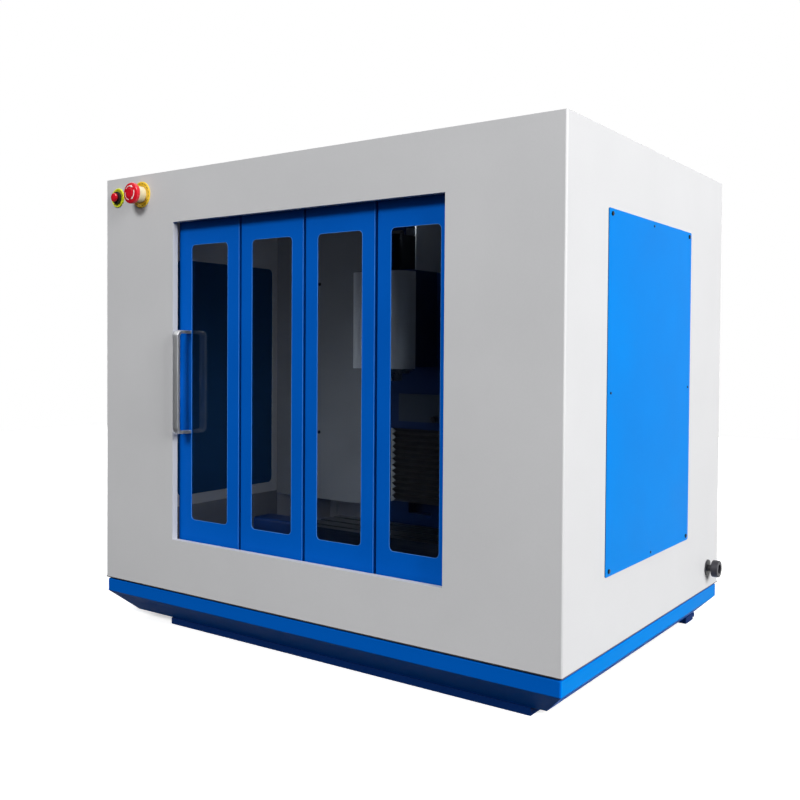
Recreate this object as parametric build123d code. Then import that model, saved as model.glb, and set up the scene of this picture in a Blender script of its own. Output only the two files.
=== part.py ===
from build123d import *
import os

# Enclosed bench milling machine.
# Frame: X to the right, Y to the back, Z up. The origin is the middle of the four anchor holes, at the floor.
# Places along X are measured from the left side, along Y from the front face and along Z from the floor,
# and the helpers at, across and place turn them into the frame.

# Overall size of the enclosure
width = 1000.0
depth = 700.0
base_height = 80.0
hood_height = 790.0

# Sheet thickness
hood_sheet = 2.0
tray_sheet = 3.0
leaf_sheet = 1.5
cover_sheet = 1.5

# Base tray: a vertical band, a slope inwards below it, and a raised rim that carries the hood
band_inset = 2.0
band_bottom = 53.0
band_top = 77.0
band_edge_radius = 2.5
band_corner_radius = 3.0
slope_run = 43.0
tray_underside = 12.0
rim_inset = 8.0
rim_width = 26.0

# Foot rails under the tray
front_rail_left = 145.0
front_rail_right = 930.0
front_rail_front = 42.0
front_rail_width = 38.0
rear_rail_left = 70.0
rear_rail_right = 957.0
rear_rail_front = 646.0
rear_rail_width = 41.0
rear_step_width = 9.0
rear_step_height = 8.0
anchor_hole_radius = 5.25
anchor_hole_spacing = 625.0

# Hood: one shell of sheet over the front, sides and top, with flanges turned inwards
bend_radius = 3.0
bottom_flange = 25.0
rear_flange = 22.0
fit_gap = 0.5
opening_left = 195.5
opening_width = 605.3
opening_bottom = 177.6
opening_height = 596.4
opening_return = 12.0

# Side covers and the cut-outs behind them
cover_front = 143.0
cover_length = 372.5
cover_bottom = 194.7
cover_height = 558.6
cutout_margin_y = 38.0
cutout_margin_z = 24.0
cutout_radius = 12.0
cover_radius = 3.0
screw_inset_y = 12.0
screw_inset_z = 8.0
screw_head_radius = 3.6
screw_head_height = 1.8
small_screw_radius = 2.0
small_screw_height = 1.0
screw_shank_radius = 1.5
screw_length = 7.0

# Rear panel
rear_louvre_count = 8
rear_louvre_length = 180.0
rear_louvre_width = 5.0
rear_louvre_pitch = 16.0
rear_louvre_bottom = 640.0
rear_screw_inset = 12.0

# Inner walls of the work space
liner_sheet = 1.5
liner_top = 196.5
liner_front = 30.0
splash_front = 493.4
splash_sheet = 1.6
splash_bottom = 189.0

# Folding door: four leaves on upright pivots, seen from the front with the last pivot at the right
door_pivot = 810.4
leaf_pitch = 152.6
leaf_gap = 5.6
leaf_overhang = 8.1
leaf_front = 20.0
leaf_depth = 16.0
leaf_bottom = 168.0
leaf_top = 782.0
window_width = 95.0
first_window_shift = -3.3
window_bottom = 216.5
window_height = 514.5
window_radius = 8.0
pane_thickness = 3.0
pane_overlap = 8.0
lug_thickness = 3.0
lug_gap = 0.4
lug_radius = 5.0
lug_reach = 16.0
pin_radius = 2.5
pin_head_radius = 3.8
pin_head_height = 1.2
running_clearance = 0.05
guide_head_radius = 4.8
guide_clearance = 0.4
guide_head_length = 9.0
lip_thickness = 3.0
lip_height = 9.5
track_shelf = 2.5
track_gap = 2.1
track_left = 172.0
track_right = 828.0
track_rear = 55.0
track_flange = 25.0
pivot_block_half = 9.0

# Door handle: a flat bar bent into a bow
handle_x = 221.0
handle_bottom = 380.0
handle_length = 191.0
handle_front = -14.0
handle_thickness = 6.0
handle_width = 10.0
handle_bend = 11.0

# Emergency stop and push button on the front face, upper left
estop_x = 106.5
estop_z = 832.5
estop_ring_radius = 25.0
ring_thickness = 2.0
estop_collar_radius = 14.5
estop_collar_length = 13.0
estop_body_radius = 11.0
mushroom_radius = 20.0
mushroom_length = 18.0
mushroom_crown = 8.0
mushroom_rim = 13.0
mushroom_recess = 8.0
estop_stem_radius = 5.0
estop_travel = 5.0
button_x = 36.0
button_z = 832.6
button_ring_radius = 18.5
button_collar_radius = 12.0
button_collar_length = 3.5
button_body_radius = 8.0
button_cap_radius = 9.0
button_cap_length = 9.0
button_travel = 2.0
button_stem_radius = 4.0
body_depth = 28.0

# Cable gland on the right side, low at the back
gland_y = 636.0
gland_z = 120.0
gland_flange_radius = 15.5
gland_flange_thickness = 2.5
gland_neck_radius = 6.0
gland_neck_length = 8.5
gland_nut_radius = 16.0
gland_nut_length = 13.0
gland_bore_radius = 4.0
gland_recess_radius = 9.0
gland_recess_depth = 4.0
gland_thread_length = 16.0
gland_locknut_radius = 9.0
gland_locknut_length = 4.0

# Machine inside: everything is set about one middle plane
machine_x = 492.5
base_casting_front = 150.0
base_casting_rear = 500.0
base_casting_width = 200.0
base_casting_top = 103.0
base_wall = 14.0
trough_width = 60.0
trough_depth = 34.0
rail_width = 15.0
rail_height = 13.0
carriage_stack = 24.0
carriage_width = 34.0
carriage_length = 48.0
carriage_lift = 5.0
rail_clearance = 0.3
y_rail_half_gap = 70.0
y_rail_front = 152.0
y_rail_rear = 380.0
y_carriage_half_gap = 32.0
saddle_width = 180.0
saddle_length = 116.0
saddle_thickness = 20.0
table_left = 337.0
table_length = 400.0
table_front = 195.0
table_width = 130.0
table_thickness = 24.0
slot_count = 3
slot_pitch = 40.0
slot_width = 10.0
slot_depth = 13.0
slot_head_width = 16.0
slot_head_height = 6.0
x_rail_half_gap = 38.0
x_rail_length = 392.0
x_carriage_half_gap = 60.0
x_screw_radius = 6.0
y_screw_radius = 8.0
z_screw_radius = 8.0
nut_length = 40.0
nut_half = 14.0
x_nut_half = 9.5
support_length = 15.0
support_half = 26.0
motor_half = 30.0
x_motor_length = 110.0
y_motor_length = 105.0
z_motor_length = 62.0
motor_flange = 8.0
coupling_length = 40.0
coupling_radius = 14.0
motor_bracket_wall = 6.0
y_screw_drop = 15.0

# Column, head and spindle
column_front = 392.0
column_width = 160.0
column_top = 790.0
column_wall = 14.0
column_trough_width = 56.0
column_trough_depth = 20.0
z_rail_half_gap = 49.0
z_rail_bottom = 270.0
z_rail_top = 780.0
plate_thickness = 15.0
plate_width = 150.0
plate_bottom = 380.0
plate_top = 690.0
apron_left = 468.0
apron_width = 102.0
apron_bottom = 395.0
apron_height = 55.0
apron_sheet = 3.0
z_carriage_inset = 40.0
z_screw_y = 388.0
z_screw_bottom = 240.0
z_nut_z = 560.0
head_width = 126.0
head_front = 266.0
head_bottom = 505.0
head_top = 690.0
head_cover_front = 236.0
head_cover_wall = 2.0
head_cover_depth = 42.0
head_cover_bottom = 502.0
head_cover_top = 686.0
head_cover_radius = 26.0
spindle_y = 300.0
cartridge_radius = 30.0
cartridge_flange_radius = 36.0
cartridge_flange = 8.0
cartridge_bottom = 492.0
spindle_radius = 12.0
bearing_radius = 20.0
bearing_length = 14.0
spindle_bottom = 481.0
collet_nut_radius = 15.0
collet_nut_bottom = 478.0
tool_bore_radius = 5.0
tool_bore_depth = 40.0
spindle_motor_half = 40.0
spindle_motor_length = 68.0
spindle_motor_flange = 6.0
spindle_shaft_top = 720.0

# Way bellows on both Z rails, and the guard plate on the column
bellows_width = 37.0
bellows_rear_gap = 0.3
bellows_fold_depth = 9.0
bellows_body = 12.0
bellows_pitch = 12.5
lower_bellows_bottom = 230.0
guard_front = 253.0
guard_rear = 460.0
guard_bottom = 687.0
guard_sheet = 2.0

# Electrics behind the splash panels
electrics_sheet = 2.0
electrics_left = 250.0
electrics_width = 500.0
electrics_bottom = 260.0
electrics_height = 360.0
drive_count = 3
drive_width = 50.0
drive_depth = 110.0
drive_height = 150.0
drive_pitch = 70.0
supply_width = 110.0
supply_depth = 50.0
supply_height = 200.0
edge_break = 1.0

# Values that follow from the driving sizes
front_hole_y = front_rail_front + front_rail_width / 2
rear_hole_y = rear_rail_front + rear_rail_width / 2
origin_x = width / 2
origin_y = (front_hole_y + rear_hole_y) / 2
hood_top = base_height + hood_height
leaf_rear = leaf_front + leaf_depth
seam_a = door_pivot - leaf_pitch
seam_b = door_pivot - 2 * leaf_pitch
seam_c = door_pivot - 3 * leaf_pitch
free_end = door_pivot - 4 * leaf_pitch
saddle_bottom = base_casting_top + carriage_stack
saddle_top = saddle_bottom + saddle_thickness
table_bottom = saddle_top + carriage_stack
table_top = table_bottom + table_thickness
table_y = table_front + table_width / 2
table_right = table_left + table_length
x_screw_z = saddle_top + carriage_stack / 2
y_screw_z = base_casting_top - y_screw_drop
plate_rear = column_front - carriage_stack
plate_front = plate_rear - plate_thickness
lug_top = leaf_top + 2 * lug_thickness + lug_gap
lug_bottom = leaf_bottom - 2 * lug_thickness - lug_gap
rear_panel_front = depth - hood_sheet

parts = {}


def at(x):
    """X in the frame of a place measured from the left side."""
    return x - origin_x


def across(y):
    """Y in the frame of a place measured from the front face."""
    return y - origin_y


def block(x0, x1, y0, y1, z0, z1):
    """Box between two places on each axis."""
    middle = Location((at((x0 + x1) / 2), across((y0 + y1) / 2), (z0 + z1) / 2))
    return middle * Box(abs(x1 - x0), abs(y1 - y0), abs(z1 - z0))


def upright(radius, x, y, z0, z1):
    """Cylinder along Z."""
    return Location((at(x), across(y), (z0 + z1) / 2)) * Cylinder(radius, abs(z1 - z0))


def lengthwise(radius, x0, x1, y, z):
    """Cylinder along X."""
    return Location((at((x0 + x1) / 2), across(y), z), (0, 90, 0)) * Cylinder(radius, abs(x1 - x0))


def inward(radius, x, y0, y1, z):
    """Cylinder along Y."""
    return Location((at(x), across((y0 + y1) / 2), z), (90, 0, 0)) * Cylinder(radius, abs(y1 - y0))


def rounded_plate(x0, x1, y0, y1, z0, z1, radius):
    """Plate in the XZ plane with rounded corners."""
    plate = block(x0, x1, y0, y1, z0, z1)
    return fillet(plate.edges().filter_by(Axis.Y), radius)


def group(solids):
    """Separate solids that share one node."""
    return Compound(children=list(solids))


# Base and feet
def make_base_tray():
    """Pan with a vertical band, a slope below it on three sides and a raised rim on its top ledge."""
    def pan(inset, floor, ledge, run):
        half_x = width - 2 * inset
        half_y = depth - 2 * inset
        middle = (at(width / 2), across(depth / 2))
        lower_middle = (at(width / 2), across((depth + run) / 2))
        upper = Plane((*middle, band_bottom)) * Rectangle(half_x, half_y)
        lower = Plane((*lower_middle, floor)) * Rectangle(half_x - 2 * run, half_y - run)
        slope = loft([lower, upper])
        band = Location((*middle, (band_bottom + ledge) / 2)) * Box(half_x, half_y, ledge - band_bottom)
        return slope, band

    slope, band = pan(band_inset, tray_underside, band_top, slope_run)
    band = fillet(band.edges().filter_by(Axis.Z), band_corner_radius)
    band = fillet(band.faces().sort_by(Axis.Z)[-1].edges(), band_edge_radius)
    rim = block(
        rim_inset, width - rim_inset, rim_inset, depth - rim_inset, band_top - tray_sheet, base_height
    )
    inner_slope, inner_band = pan(
        band_inset + tray_sheet, tray_underside + tray_sheet, band_top - tray_sheet, slope_run - tray_sheet
    )
    inner_edge = rim_inset + rim_width
    mouth = block(inner_edge, width - inner_edge, inner_edge, depth - inner_edge, band_bottom, base_height)
    parts["base_tray"] = slope + band + rim - inner_slope - inner_band - mouth


def make_foot_rails():
    """Flat rails on which the machine stands, with an anchor hole near each end."""
    def holes(rail, y):
        for side in (-1, 1):
            x = width / 2 + side * anchor_hole_spacing / 2
            drill = upright(anchor_hole_radius, x, y, -1, band_bottom)
            rail -= drill
            parts["base_tray"] -= drill
        return rail

    front_rail = block(
        front_rail_left, front_rail_right, front_rail_front, front_rail_front + front_rail_width, 0,
        tray_underside
    )
    rear_edge = rear_rail_front + rear_rail_width
    rear_rail = block(rear_rail_left, rear_rail_right, rear_rail_front, rear_edge, 0, tray_underside)
    rear_rail += block(
        rear_rail_left, rear_rail_right, rear_edge, rear_edge + rear_step_width,
        tray_underside - rear_step_height, tray_underside,
    )
    parts["foot_rails"] = group([holes(front_rail, front_hole_y), holes(rear_rail, rear_hole_y)])


# Hood
def make_enclosure_hood():
    """Front, sides and roof welded into one shell, with the door opening and the side cut-outs."""
    rear = rear_panel_front
    shell = block(0, width, 0, rear, base_height, hood_top)
    front_edges = shell.edges().filter_by(Axis.Z).sort_by(Axis.Y)[:2]
    shell = fillet(front_edges, bend_radius)
    room = block(hood_sheet, width - hood_sheet, hood_sheet, rear, base_height, hood_top - hood_sheet)
    room = fillet(room.edges().filter_by(Axis.Z).sort_by(Axis.Y)[:2], bend_radius - hood_sheet)
    wrap = shell - room
    flange_inset = hood_sheet + bottom_flange
    flange = block(0, width, 0, rear, base_height, base_height + hood_sheet) & room
    flange -= block(
        flange_inset, width - flange_inset, flange_inset, rear, base_height, base_height + hood_sheet
    )
    wrap += flange
    for x0 in (hood_sheet, width - hood_sheet - rear_flange):
        wrap += block(x0, x0 + rear_flange, rear - hood_sheet, rear, base_height, hood_top - hood_sheet)
    right, top = opening_left + opening_width, opening_bottom + opening_height
    wrap += block(
        opening_left - hood_sheet, right + hood_sheet, 0.5 * hood_sheet, opening_return,
        opening_bottom - hood_sheet, top + hood_sheet,
    )
    wrap -= block(opening_left, right, -1, opening_return, opening_bottom, top)
    wrap -= rounded_side_cutout()
    wrap -= inward(estop_body_radius, estop_x, -1, hood_sheet + 1, estop_z)
    wrap -= inward(button_body_radius, button_x, -1, hood_sheet + 1, button_z)
    wrap -= lengthwise(gland_neck_radius, width - hood_sheet - 1, width + 1, gland_y, gland_z)
    parts["enclosure_hood"] = wrap


def rounded_side_cutout():
    """Block through both side walls, smaller than the covers that close it."""
    cut = block(
        -1, width + 1, cover_front + cutout_margin_y, cover_front + cover_length - cutout_margin_y,
        cover_bottom + cutout_margin_z, cover_bottom + cover_height - cutout_margin_z,
    )
    return fillet(cut.edges().filter_by(Axis.X), cutout_radius)


def make_rear_panel():
    """Panel over the open back of the hood, with two banks of vent slots."""
    rear = block(fit_gap, width - fit_gap, rear_panel_front, depth, base_height, hood_top)
    for column in (-1, 1):
        x = width / 2 + column * width / 4
        for row in range(rear_louvre_count):
            z = rear_louvre_bottom + row * rear_louvre_pitch
            slot = block(
                x - rear_louvre_length / 2, x + rear_louvre_length / 2, rear_panel_front - 1, depth + 1,
                z, z + rear_louvre_width,
            )
            rear -= fillet(slot.edges().filter_by(Axis.Y), rear_louvre_width * 0.49)
    parts["rear_panel"] = rear


def make_side_covers():
    """Flat blue covers on both sides, screwed over the cut-outs."""
    covers = []
    for x0, x1 in ((-cover_sheet, 0), (width, width + cover_sheet)):
        cover = block(
            x0, x1, cover_front, cover_front + cover_length, cover_bottom, cover_bottom + cover_height
        )
        covers.append(fillet(cover.edges().filter_by(Axis.X), cover_radius))
    for number, cover in enumerate(covers):
        for y, z in side_screw_places():
            x = -cover_sheet - 1 if number == 0 else width - hood_sheet - 1
            covers[number] -= lengthwise(screw_shank_radius, x, x + cover_sheet + hood_sheet + 2, y, z)
        wall_x = -1 if number == 0 else width - hood_sheet - 1
        for y, z in side_screw_places():
            parts["enclosure_hood"] -= lengthwise(screw_shank_radius, wall_x, wall_x + hood_sheet + 2, y, z)
    parts["side_covers"] = group(covers)


def side_screw_places():
    """Corners first, then the middles of the four edges."""
    y0, y1 = cover_front + screw_inset_y, cover_front + cover_length - screw_inset_y
    z0, z1 = cover_bottom + screw_inset_z, cover_bottom + cover_height - screw_inset_z
    middle_y, middle_z = (y0 + y1) / 2, (z0 + z1) / 2
    corners = [(y0, z0), (y1, z0), (y0, z1), (y1, z1)]
    return corners + [(middle_y, z0), (middle_y, z1), (y0, middle_z), (y1, middle_z)]


def rear_screw_places():
    """Down both upright edges of the rear panel, into the rear flanges."""
    x0, x1 = rear_screw_inset, width - rear_screw_inset
    z0, z1 = base_height + rear_screw_inset, hood_top - 2 * hood_sheet - rear_screw_inset
    return [(x, z0 + (z1 - z0) * step / 3) for x in (x0, x1) for step in range(4)]


def make_cover_screws():
    """Button-head screws of the side covers and the rear panel, small ones at the middles of the edges."""
    screws = []
    for side, face in ((-1, -cover_sheet), (1, width + cover_sheet)):
        for number, (y, z) in enumerate(side_screw_places()):
            corner = number < 4
            radius = screw_head_radius if corner else small_screw_radius
            height = screw_head_height if corner else small_screw_height
            head = lengthwise(radius, face, face + side * height, y, z)
            outer = head.edges().filter_by(GeomType.CIRCLE).sort_by(Axis.X)[0 if side < 0 else -1]
            head = fillet([outer], height * 0.6)
            shank_end = face - side * screw_length
            screws.append(head + lengthwise(screw_shank_radius - running_clearance, face, shank_end, y, z))
    for x, z in rear_screw_places():
        head = inward(screw_head_radius, x, depth, depth + screw_head_height, z)
        outer = head.edges().filter_by(GeomType.CIRCLE).sort_by(Axis.Y)[-1]
        head = fillet([outer], screw_head_height * 0.6)
        screws.append(
            head + inward(screw_shank_radius - running_clearance, x, depth, depth - screw_length, z)
        )
        for name in ("rear_panel", "enclosure_hood"):
            parts[name] -= inward(screw_shank_radius, x, depth + 1, depth - screw_length, z)
    parts["cover_screws"] = group(screws)


def make_inner_walls():
    """Gutter liners on the side walls, and splash panels left and right of the column."""
    liners = []
    for x in (hood_sheet, width - hood_sheet - liner_sheet):
        liners.append(
            block(x, x + liner_sheet, liner_front, splash_front, base_height + hood_sheet, liner_top)
        )
    parts["wall_liners"] = group(liners)
    top = hood_top - 2 * hood_sheet
    half = column_width / 2
    panels = []
    for x0, x1 in ((hood_sheet, machine_x - half), (machine_x + half, width - hood_sheet)):
        panels.append(block(x0, x1, splash_front, splash_front + splash_sheet, splash_bottom, top))
    parts["splash_panels"] = group(panels)


# Folding door
def leaf_span(number):
    """Left and right edge of a leaf, counted from the free end."""
    right = door_pivot - (4 - number) * leaf_pitch - leaf_gap / 2
    left = door_pivot - (5 - number) * leaf_pitch + leaf_gap / 2
    if number == 1:
        left = free_end - leaf_overhang
    return left, right


def lug(x, y, direction, raised):
    """Pair of pivot lugs, above and below a leaf, reaching from the leaf to the pivot line."""
    inner = 1 if y < leaf_front + leaf_depth / 2 else -1
    lift = lug_thickness + lug_gap if raised else 0
    pieces = []
    for level, sign in ((leaf_top, 1), (leaf_bottom, -1)):
        z0, z1 = level + sign * lift, level + sign * (lift + lug_thickness)
        arm = block(x, x + direction * lug_reach, y, y + inner * 2 * lug_radius, z0, z1)
        arm += upright(lug_radius, x, y, z0, z1)
        if raised:
            riser_start = x + direction * (lug_radius + leaf_gap / 2)
            arm += block(riser_start, x + direction * lug_reach, y, y + inner * 2 * lug_radius, level, z0)
        arm -= upright(pin_radius + running_clearance, x, y, z0 - sign, z1 + sign)
        pieces.append(arm)
    return pieces


def make_leaf(number):
    """Sheet leaf with flanges turned back on all four edges, a glazed window and pivot lugs."""
    left, right = leaf_span(number)
    leaf = block(left, right, leaf_front, leaf_rear, leaf_bottom, leaf_top)
    leaf -= block(
        left + leaf_sheet, right - leaf_sheet, leaf_front + leaf_sheet, leaf_rear + 1,
        leaf_bottom + leaf_sheet, leaf_top - leaf_sheet,
    )
    middle = door_pivot - (4.5 - number) * leaf_pitch
    if number == 1:
        middle += first_window_shift
    hole = rounded_plate(
        middle - window_width / 2, middle + window_width / 2, leaf_front - 1, leaf_front + leaf_sheet + 1,
        window_bottom, window_bottom + window_height, window_radius,
    )
    leaf -= hole
    front_right = number in (1, 3)
    right_axis = door_pivot - (4 - number) * leaf_pitch
    left_axis = door_pivot - (5 - number) * leaf_pitch
    for piece in lug(right_axis, leaf_front if front_right else leaf_rear, -1, True):
        leaf += piece
    for piece in lug(left_axis, leaf_rear if front_right else leaf_front, 1, False):
        leaf += piece
    parts[f"door_leaf_{number}"] = leaf
    pane = rounded_plate(
        middle - window_width / 2 - pane_overlap, middle + window_width / 2 + pane_overlap,
        leaf_front + leaf_sheet, leaf_front + leaf_sheet + pane_thickness,
        window_bottom - pane_overlap, window_bottom + window_height + pane_overlap, window_radius,
    )
    parts[f"window_pane_{number}"] = pane


def hinge_pins(x, y):
    """Headed pins through the lugs of two leaves, above and below."""
    pins = []
    for start, level, sign in ((leaf_top, lug_top, 1), (leaf_bottom, lug_bottom, -1)):
        head_start = level + sign * lug_gap / 2
        pin = upright(pin_radius, x, y, start, head_start)
        pins.append(pin + upright(pin_head_radius, x, y, head_start, head_start + sign * pin_head_height))
    return pins


def guide_pins(x, y, head_radius):
    """Stepped pins whose heads run in the slots of the two tracks."""
    pins = []
    for start, level, sign in ((leaf_top, lug_top, 1), (leaf_bottom, lug_bottom, -1)):
        head_start = level + sign * track_gap / 2
        pin = upright(pin_radius, x, y, start, head_start)
        pin += upright(head_radius, x, y, head_start, head_start + sign * guide_head_length)
        pins.append(pin)
    return pins


def make_door_pins():
    """Pins carried by each leaf: the jamb pivot and seam A, seams B and C, and the free end."""
    parts["pivot_pins"] = group(
        guide_pins(door_pivot, leaf_rear, pin_radius) + hinge_pins(seam_a, leaf_front)
    )
    parts["seam_pins"] = group(
        guide_pins(seam_b, leaf_rear, guide_head_radius) + hinge_pins(seam_c, leaf_front)
    )
    parts["guide_pins"] = group(guide_pins(free_end, leaf_rear, guide_head_radius))


def make_track(name, level, sign):
    """Shelf behind the front sheet with two lips that guide the pins, and a block for the fixed pivot."""
    lip_start = level + sign * track_gap
    shelf_start = lip_start + sign * lip_height
    shelf_end = shelf_start + sign * track_shelf
    track = block(track_left, track_right, hood_sheet, track_rear, shelf_start, shelf_end)
    track += block(
        track_left, track_right, hood_sheet, hood_sheet + track_shelf,
        shelf_start, shelf_end + sign * track_flange,
    )
    slot_half = guide_head_radius + guide_clearance
    lips_end = door_pivot - pivot_block_half
    for side in (-1, 1):
        inner = leaf_rear + side * slot_half
        track += block(track_left, lips_end, inner, inner + side * lip_thickness, lip_start, shelf_start)
    pivot = block(
        lips_end, door_pivot + pivot_block_half, leaf_rear - slot_half - lip_thickness,
        leaf_rear + slot_half + lip_thickness, lip_start, shelf_start,
    )
    track += pivot
    bore_start, bore_end = lip_start - sign, shelf_start + sign * track_shelf
    track -= upright(pin_radius + running_clearance, door_pivot, leaf_rear, bore_start, bore_end)
    parts[name] = track


def make_handle():
    """Flat bar bent into a bow, standing on the free leaf's left stile."""
    outer = block(
        handle_x - handle_width / 2, handle_x + handle_width / 2, handle_front, leaf_front,
        handle_bottom, handle_bottom + handle_length,
    )
    outer = fillet(outer.edges().filter_by(Axis.X).sort_by(Axis.Y)[:2], handle_bend)
    inner = block(
        handle_x - handle_width, handle_x + handle_width, handle_front + handle_thickness, leaf_front + 1,
        handle_bottom + handle_thickness, handle_bottom + handle_length - handle_thickness,
    )
    inner = fillet(inner.edges().filter_by(Axis.X).sort_by(Axis.Y)[:2], handle_bend - handle_thickness)
    bow = outer - inner
    long_edges = bow.edges().filter_by(Axis.Z)
    parts["door_handle"] = fillet(long_edges, edge_break)


# Controls
def make_controls():
    """Emergency stop and push button: legend rings, bodies, stem, mushroom and cap."""
    rings = []
    for x, z, radius, hole in (
        (estop_x, estop_z, estop_ring_radius, estop_body_radius),
        (button_x, button_z, button_ring_radius, button_body_radius),
    ):
        rings.append(inward(radius, x, -ring_thickness, 0, z) - inward(hole, x, -ring_thickness - 1, 1, z))
    parts["legend_rings"] = group(rings)
    bodies = []
    for x, z, radius, collar_radius, collar, stem in (
        (estop_x, estop_z, estop_body_radius, estop_collar_radius, estop_collar_length, estop_stem_radius),
        (
            button_x, button_z, button_body_radius, button_collar_radius, button_collar_length,
            button_stem_radius,
        ),
    ):
        body = inward(radius, x, -ring_thickness, hood_sheet + body_depth, z)
        collar_front = -ring_thickness - collar
        body += inward(collar_radius, x, collar_front, -ring_thickness, z)
        locknut = inward(collar_radius + 1.5, x, hood_sheet, hood_sheet + 5, z)
        body += locknut
        body -= inward(stem + running_clearance, x, collar_front - 1, hood_sheet + body_depth + 1, z)
        bodies.append(body)
    parts["button_bodies"] = group(bodies)
    make_mushroom()
    cap_rear = -ring_thickness - button_collar_length - button_travel - fit_gap
    cap = inward(button_cap_radius, button_x, cap_rear - button_cap_length, cap_rear, button_z)
    outer = cap.edges().filter_by(GeomType.CIRCLE).sort_by(Axis.Y)[0]
    cap = fillet([outer], button_cap_length * 0.3)
    cap += inward(
        button_stem_radius, button_x, cap_rear, hood_sheet + body_depth - button_travel - 1, button_z
    )
    parts["button_cap"] = cap


def make_mushroom():
    """Domed mushroom with a hollow underside, on a stem that slides in the body."""
    rim = -mushroom_rim
    front = rim - mushroom_length
    crown_radius = (mushroom_radius**2 + mushroom_crown**2) / (2 * mushroom_crown)
    crown = Location((at(estop_x), across(front + crown_radius), estop_z)) * Sphere(crown_radius)
    dome = inward(mushroom_radius, estop_x, front, rim, estop_z) & crown
    recess_radius = estop_collar_radius + 1.5
    dome -= inward(recess_radius, estop_x, rim - mushroom_recess, rim + 1, estop_z)
    dome -= inward(
        estop_stem_radius + running_clearance, estop_x, rim - mushroom_recess - 4, rim + 1, estop_z
    )
    parts["estop_mushroom"] = dome
    stem_front = rim - mushroom_recess - 4 + running_clearance
    stem_rear = hood_sheet + body_depth - estop_travel - 1
    parts["estop_stem"] = inward(estop_stem_radius, estop_x, stem_front, stem_rear, estop_z)


def make_cable_gland():
    """Gland body with flange, neck, inner thread and locknut, and a clamp nut with an open end."""
    neck_end = width + gland_flange_thickness + gland_neck_length
    inner_end = width - gland_thread_length
    body = lengthwise(gland_flange_radius, width, width + gland_flange_thickness, gland_y, gland_z)
    body += lengthwise(gland_neck_radius, inner_end, neck_end, gland_y, gland_z)
    inner_wall = width - hood_sheet
    body += lengthwise(gland_locknut_radius, inner_wall - gland_locknut_length, inner_wall, gland_y, gland_z)
    body -= lengthwise(gland_bore_radius, inner_end - 1, neck_end + 1, gland_y, gland_z)
    parts["gland_body"] = body
    nut_end = neck_end + gland_nut_length
    nut = lengthwise(gland_nut_radius, neck_end, nut_end, gland_y, gland_z)
    nut = fillet(nut.edges().filter_by(GeomType.CIRCLE), edge_break * 1.5)
    nut -= lengthwise(gland_recess_radius, nut_end - gland_recess_depth, nut_end + 1, gland_y, gland_z)
    nut -= lengthwise(gland_bore_radius, neck_end - 1, nut_end + 1, gland_y, gland_z)
    parts["gland_nut"] = nut


# Machine: base, saddle and table
def make_machine_base():
    """Cast base, open underneath, with a trough for the Y screw between two raised ways."""
    half = base_casting_width / 2
    floor = tray_underside + tray_sheet
    casting = block(
        machine_x - half, machine_x + half, base_casting_front, base_casting_rear, floor, base_casting_top
    )
    casting = fillet(casting.edges().filter_by(Axis.Z), base_wall / 2)
    trough_floor = base_casting_top - trough_depth
    casting -= block(
        machine_x - trough_width / 2, machine_x + trough_width / 2,
        base_casting_front - 1, base_casting_rear + 1, trough_floor, base_casting_top + 1,
    )
    middle_rib = (base_casting_front + base_casting_rear) / 2
    bays = (
        (base_casting_front + base_wall, middle_rib - base_wall / 2),
        (middle_rib + base_wall / 2, base_casting_rear - base_wall),
    )
    for y0, y1 in bays:
        bay = block(
            machine_x - half + base_wall, machine_x + half - base_wall, y0, y1, floor - 1,
            trough_floor - base_wall
        )
        casting -= fillet(bay.edges().filter_by(Axis.Z), base_wall / 2)
    parts["machine_base"] = casting


def rail_y(x, y0, y1, base):
    """Linear rail along Y on a level face."""
    return block(x - rail_width / 2, x + rail_width / 2, y0, y1, base, base + rail_height)


def make_fixed_rails():
    """Y rails on the base and Z rails on the column."""
    rails = []
    for side in (-1, 1):
        rails.append(rail_y(machine_x + side * y_rail_half_gap, y_rail_front, y_rail_rear, base_casting_top))
        x = machine_x + side * z_rail_half_gap
        rails.append(
            block(
                x - rail_width / 2, x + rail_width / 2, column_front - rail_height, column_front,
                z_rail_bottom, z_rail_top,
            )
        )
    parts["fixed_rails"] = group(rails)


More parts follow.
